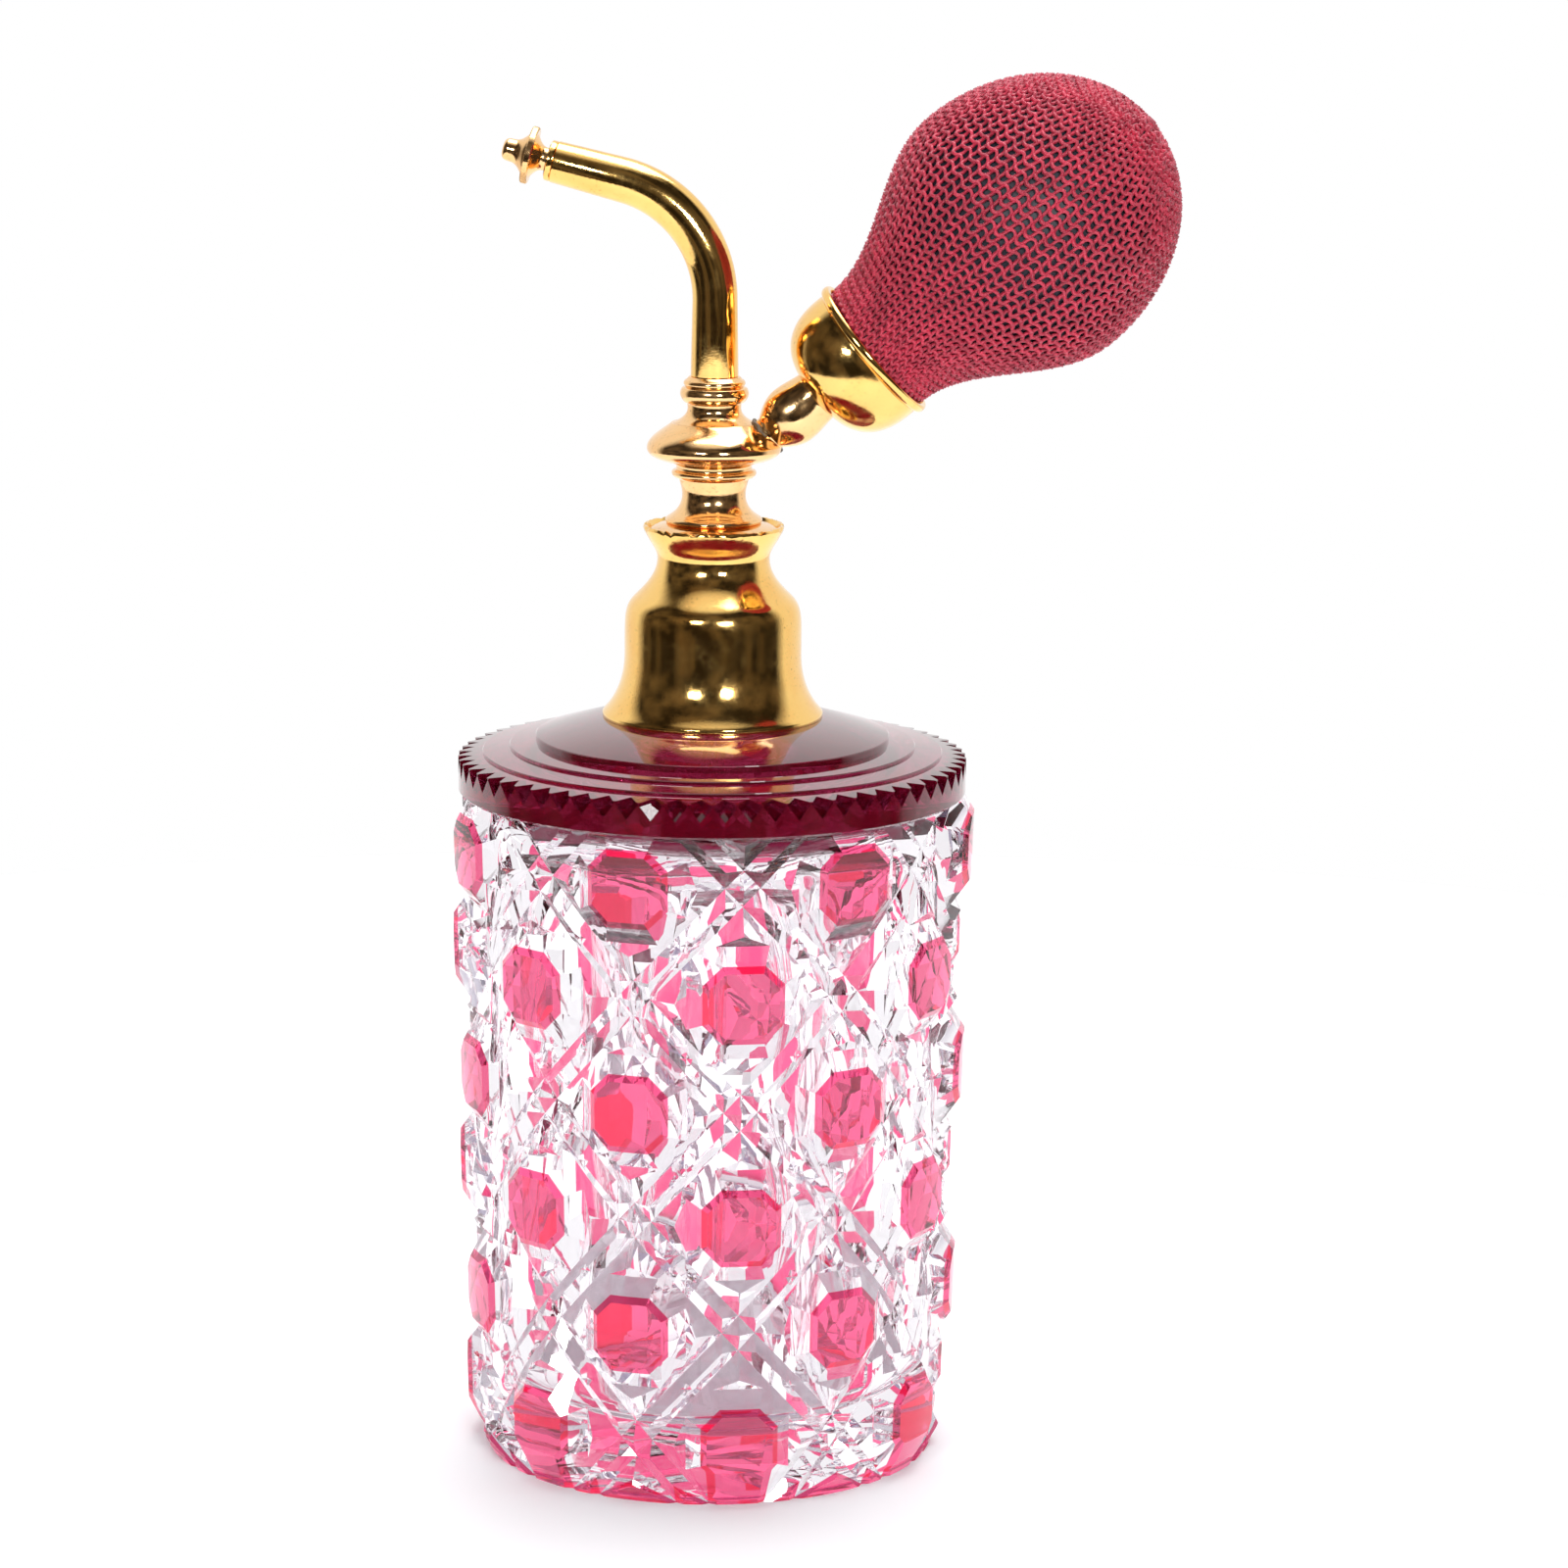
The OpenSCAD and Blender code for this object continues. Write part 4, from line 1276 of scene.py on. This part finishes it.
def surroundings(scene):
    """White surroundings, darker in front, as a room is that lights the object from behind."""
    world = bpy.data.worlds.new("studio")
    world.use_nodes = True
    scene.world = world
    tree = world.node_tree
    back = tree.nodes["Background"]
    where = tree.nodes.new("ShaderNodeTexCoord")
    split = tree.nodes.new("ShaderNodeSeparateXYZ")
    tree.links.new(where.outputs["Generated"], split.inputs["Vector"])
    wide_front = multiply(tree, ramp(tree, split.outputs["Y"], 0.10, 0.36, 1.0, 0.0),
                          ramp(tree, split.outputs["Z"], 0.86, 0.96, 1.0, 0.0))
    narrow_front = multiply(tree, ramp(tree, split.outputs["Y"], -0.45, -0.15, 1.0, 0.0),
                            ramp(tree, split.outputs["Z"], 0.60, 0.85, 1.0, 0.0))
    room = tree.nodes.new("ShaderNodeTexNoise")
    room.inputs["Scale"].default_value = 2.2
    room.inputs["Detail"].default_value = 3.0
    tree.links.new(where.outputs["Generated"], room.inputs["Vector"])
    dark_room = mix_colour(tree, ramp(tree, room.outputs["Fac"], 0.42, 0.70, 0.0, 1.0),
                           ROOM_DARK, ROOM_WARM)
    on_metal = mix_colour(tree, wide_front, WHITE, dark_room)
    in_glass = mix_colour(tree, narrow_front, GLASS_LIGHT, GLASS_FRONT)
    path = tree.nodes.new("ShaderNodeLightPath")
    colour = mix_colour(tree, path.outputs["Is Transmission Ray"], on_metal, in_glass)
    colour = mix_colour(tree, path.outputs["Is Camera Ray"], colour, WHITE)
    tree.links.new(colour, back.inputs["Color"])
    back.inputs["Strength"].default_value = scene.atomiser_stage.sky


def soft_light(name, place, target, size, power):
    """A rectangular area light that faces a point."""
    lamp = bpy.data.lights.new(name, "AREA")
    lamp.shape = "RECTANGLE"
    lamp.size, lamp.size_y = size
    lamp.energy = power
    light = add_object(name, lamp)
    light.location = place
    aim = Vector(target) - Vector(place)
    light.rotation_euler = aim.to_track_quat("-Z", "Y").to_euler()
    light.visible_transmission = False


# Place of the camera in metres, and its heading, downward tilt and roll.
CAMERA_PLACE = (0.0641, -0.6955, 0.2287)
CAMERA_HEADING = math.radians(4.5)
CAMERA_TILT = math.radians(11.3715)
CAMERA_ROLL = math.radians(0.4865)
SENSOR_WIDTH = 36


def add_camera(scene):
    """Camera a little above the bottle and to its right."""
    lens = bpy.data.cameras.new("camera")
    lens.lens = scene.atomiser_stage.lens
    lens.sensor_width = SENSOR_WIDTH
    scene.camera = add_object("camera", lens)
    turn = (Matrix.Rotation(CAMERA_HEADING, 4, "Z")
            @ Matrix.Rotation(math.pi / 2 - CAMERA_TILT, 4, "X")
            @ Matrix.Rotation(CAMERA_ROLL, 4, "Z"))
    scene.camera.matrix_world = Matrix.Translation(CAMERA_PLACE) @ turn


def add_floor(scene):
    """Round pale floor that is faintly lit from within."""
    bm = bmesh.new()
    bmesh.ops.create_circle(bm, cap_ends=True, segments=96,
                            radius=scene.atomiser_stage.floor_size / 2)
    floor = add_object("floor", mesh_from(bm, "floor"))
    material, tree, shader = new_material(
        "pale_floor", Roughness=0.6, Emission_Color=(0.90, 0.89, 1.0, 1),
        Emission_Strength=0.16)
    shade_noise = object_noise(tree, 0.01, detail=2.0)
    tint = mix_colour(tree, shade_noise, (0.90, 0.90, 0.92), (0.94, 0.94, 0.95))
    tree.links.new(tint, shader.inputs["Base Color"])
    floor.data.materials.append(material)


def build_stage(scene):
    """Camera, pale floor, white surroundings and soft lights."""
    add_camera(scene)
    add_floor(scene)
    surroundings(scene)
    middle = sum((Vector(corner) for corner in cad_box), Vector()) / 2
    soft_light("left_softbox", (-0.35, -1.1, 0.55), middle, (0.24, 0.11), 5.0)
    soft_light("right_softbox", (0.45, -1.1, 0.50), middle, (0.24, 0.15), 7.0)
    soft_light("top_softbox", (0.1, 0.3, 1.3), middle, (0.9, 0.9), 12.0)
    scene.view_settings.view_transform = "Standard"
    # Light crosses many faces of the cut glass before it is out again.
    scene.cycles.max_bounces = 64
    scene.cycles.transmission_bounces = 64
    scene.cycles.glossy_bounces = 32
    scene.cycles.transparent_max_bounces = 32


# ---------------------------------------------------------------- add-on

class ATOMISER_OT_stage(bpy.types.Operator):
    """Adds the camera, the floor, the surroundings and the lights"""
    bl_idname = "atomiser.stage"
    bl_label = "Stage"

    def execute(self, context):
        build_stage(context.scene)
        return {"FINISHED"}


class ATOMISER_OT_crystal(bpy.types.Operator):
    """Builds the clear cut glass body of the bottle"""
    bl_idname = "atomiser.crystal"
    bl_label = "Crystal"

    def execute(self, context):
        build_crystal(context.scene)
        return {"FINISHED"}


class ATOMISER_OT_casing(bpy.types.Operator):
    """Builds the ruby buttons and the ruby band round the foot"""
    bl_idname = "atomiser.casing"
    bl_label = "Ruby Casing"

    def execute(self, context):
        build_casing(context.scene)
        return {"FINISHED"}


class ATOMISER_OT_shoulder(bpy.types.Operator):
    """Builds the stepped and notched shoulder on the crystal"""
    bl_idname = "atomiser.shoulder"
    bl_label = "Ruby Shoulder"

    def execute(self, context):
        build_shoulder(context.scene)
        return {"FINISHED"}


class ATOMISER_OT_collar(bpy.types.Operator):
    """Builds the bell-shaped gilt collar"""
    bl_idname = "atomiser.collar"
    bl_label = "Collar"

    def execute(self, context):
        build_collar(context.scene)
        return {"FINISHED"}


class ATOMISER_OT_head(bpy.types.Operator):
    """Builds the turned gilt head, from its flange to the spout's socket"""
    bl_idname = "atomiser.head"
    bl_label = "Head"

    def execute(self, context):
        build_head(context.scene)
        return {"FINISHED"}


class ATOMISER_OT_spout(bpy.types.Operator):
    """Builds the bent spout tube"""
    bl_idname = "atomiser.spout"
    bl_label = "Spout"

    def execute(self, context):
        build_spout(context.scene)
        return {"FINISHED"}


class ATOMISER_OT_nozzle(bpy.types.Operator):
    """Builds the spout's end ring and the knurled nozzle"""
    bl_idname = "atomiser.nozzle"
    bl_label = "Nozzle"

    def execute(self, context):
        build_nozzle(context.scene)
        return {"FINISHED"}


class ATOMISER_OT_arm(bpy.types.Operator):
    """Builds the side arm and the solder round its root"""
    bl_idname = "atomiser.arm"
    bl_label = "Arm"

    def execute(self, context):
        build_arm(context.scene)
        return {"FINISHED"}


class ATOMISER_OT_cup(bpy.types.Operator):
    """Builds the round cup that holds the bulb"""
    bl_idname = "atomiser.cup"
    bl_label = "Cup"

    def execute(self, context):
        build_cup(context.scene)
        return {"FINISHED"}


class ATOMISER_OT_bulb(bpy.types.Operator):
    """Builds the rubber bulb"""
    bl_idname = "atomiser.bulb"
    bl_label = "Bulb"

    def execute(self, context):
        build_bulb(context.scene)
        return {"FINISHED"}


class ATOMISER_OT_net(bpy.types.Operator):
    """Knits the crimson net over the bulb"""
    bl_idname = "atomiser.net"
    bl_label = "Net"

    def execute(self, context):
        build_net(context.scene)
        return {"FINISHED"}


class ATOMISER_OT_fittings(bpy.types.Operator):
    """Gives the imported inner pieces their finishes"""
    bl_idname = "atomiser.fittings"
    bl_label = "Inner Fittings"

    def execute(self, context):
        build_fittings(context.scene)
        return {"FINISHED"}


OPERATORS = (
    ATOMISER_OT_stage, ATOMISER_OT_crystal, ATOMISER_OT_casing, ATOMISER_OT_shoulder,
    ATOMISER_OT_collar, ATOMISER_OT_head, ATOMISER_OT_spout, ATOMISER_OT_nozzle,
    ATOMISER_OT_arm, ATOMISER_OT_cup, ATOMISER_OT_bulb, ATOMISER_OT_net,
    ATOMISER_OT_fittings,
)
SETTINGS = {"atomiser_crystal": CrystalSettings, "atomiser_metal": MetalSettings,
            "atomiser_net": NetSettings, "atomiser_stage": StageSettings}


class ATOMISER_PT_panel(bpy.types.Panel):
    """Sizes and colours of the atomiser, and a button for each of its pieces"""
    bl_label = "Perfume Atomiser"
    bl_idname = "ATOMISER_PT_panel"
    bl_space_type = "VIEW_3D"
    bl_region_type = "UI"
    bl_category = "Atomiser"

    def draw(self, context):
        for name, kind in SETTINGS.items():
            box = self.layout.box()
            for prop in kind.__annotations__:
                box.prop(getattr(context.scene, name), prop)
        for operator in OPERATORS:
            self.layout.operator(operator.bl_idname)


def register():
    """Registers the classes and hangs the settings on the scene."""
    for kind in (*SETTINGS.values(), *OPERATORS, ATOMISER_PT_panel):
        bpy.utils.register_class(kind)
    for name, kind in SETTINGS.items():
        setattr(bpy.types.Scene, name, PointerProperty(type=kind))


def unregister():
    """Takes away what register added."""
    for name in SETTINGS:
        delattr(bpy.types.Scene, name)
    for kind in reversed((*SETTINGS.values(), *OPERATORS, ATOMISER_PT_panel)):
        bpy.utils.unregister_class(kind)


def main():
    """Builds the whole atomiser on its stage."""
    register()
    bpy.ops.atomiser.stage()
    bpy.ops.atomiser.crystal()
    bpy.ops.atomiser.casing()
    bpy.ops.atomiser.shoulder()
    bpy.ops.atomiser.collar()
    bpy.ops.atomiser.head()
    bpy.ops.atomiser.spout()
    bpy.ops.atomiser.nozzle()
    bpy.ops.atomiser.arm()
    bpy.ops.atomiser.cup()
    bpy.ops.atomiser.bulb()
    bpy.ops.atomiser.net()
    bpy.ops.atomiser.fittings()


if __name__ == "__main__":
    main()
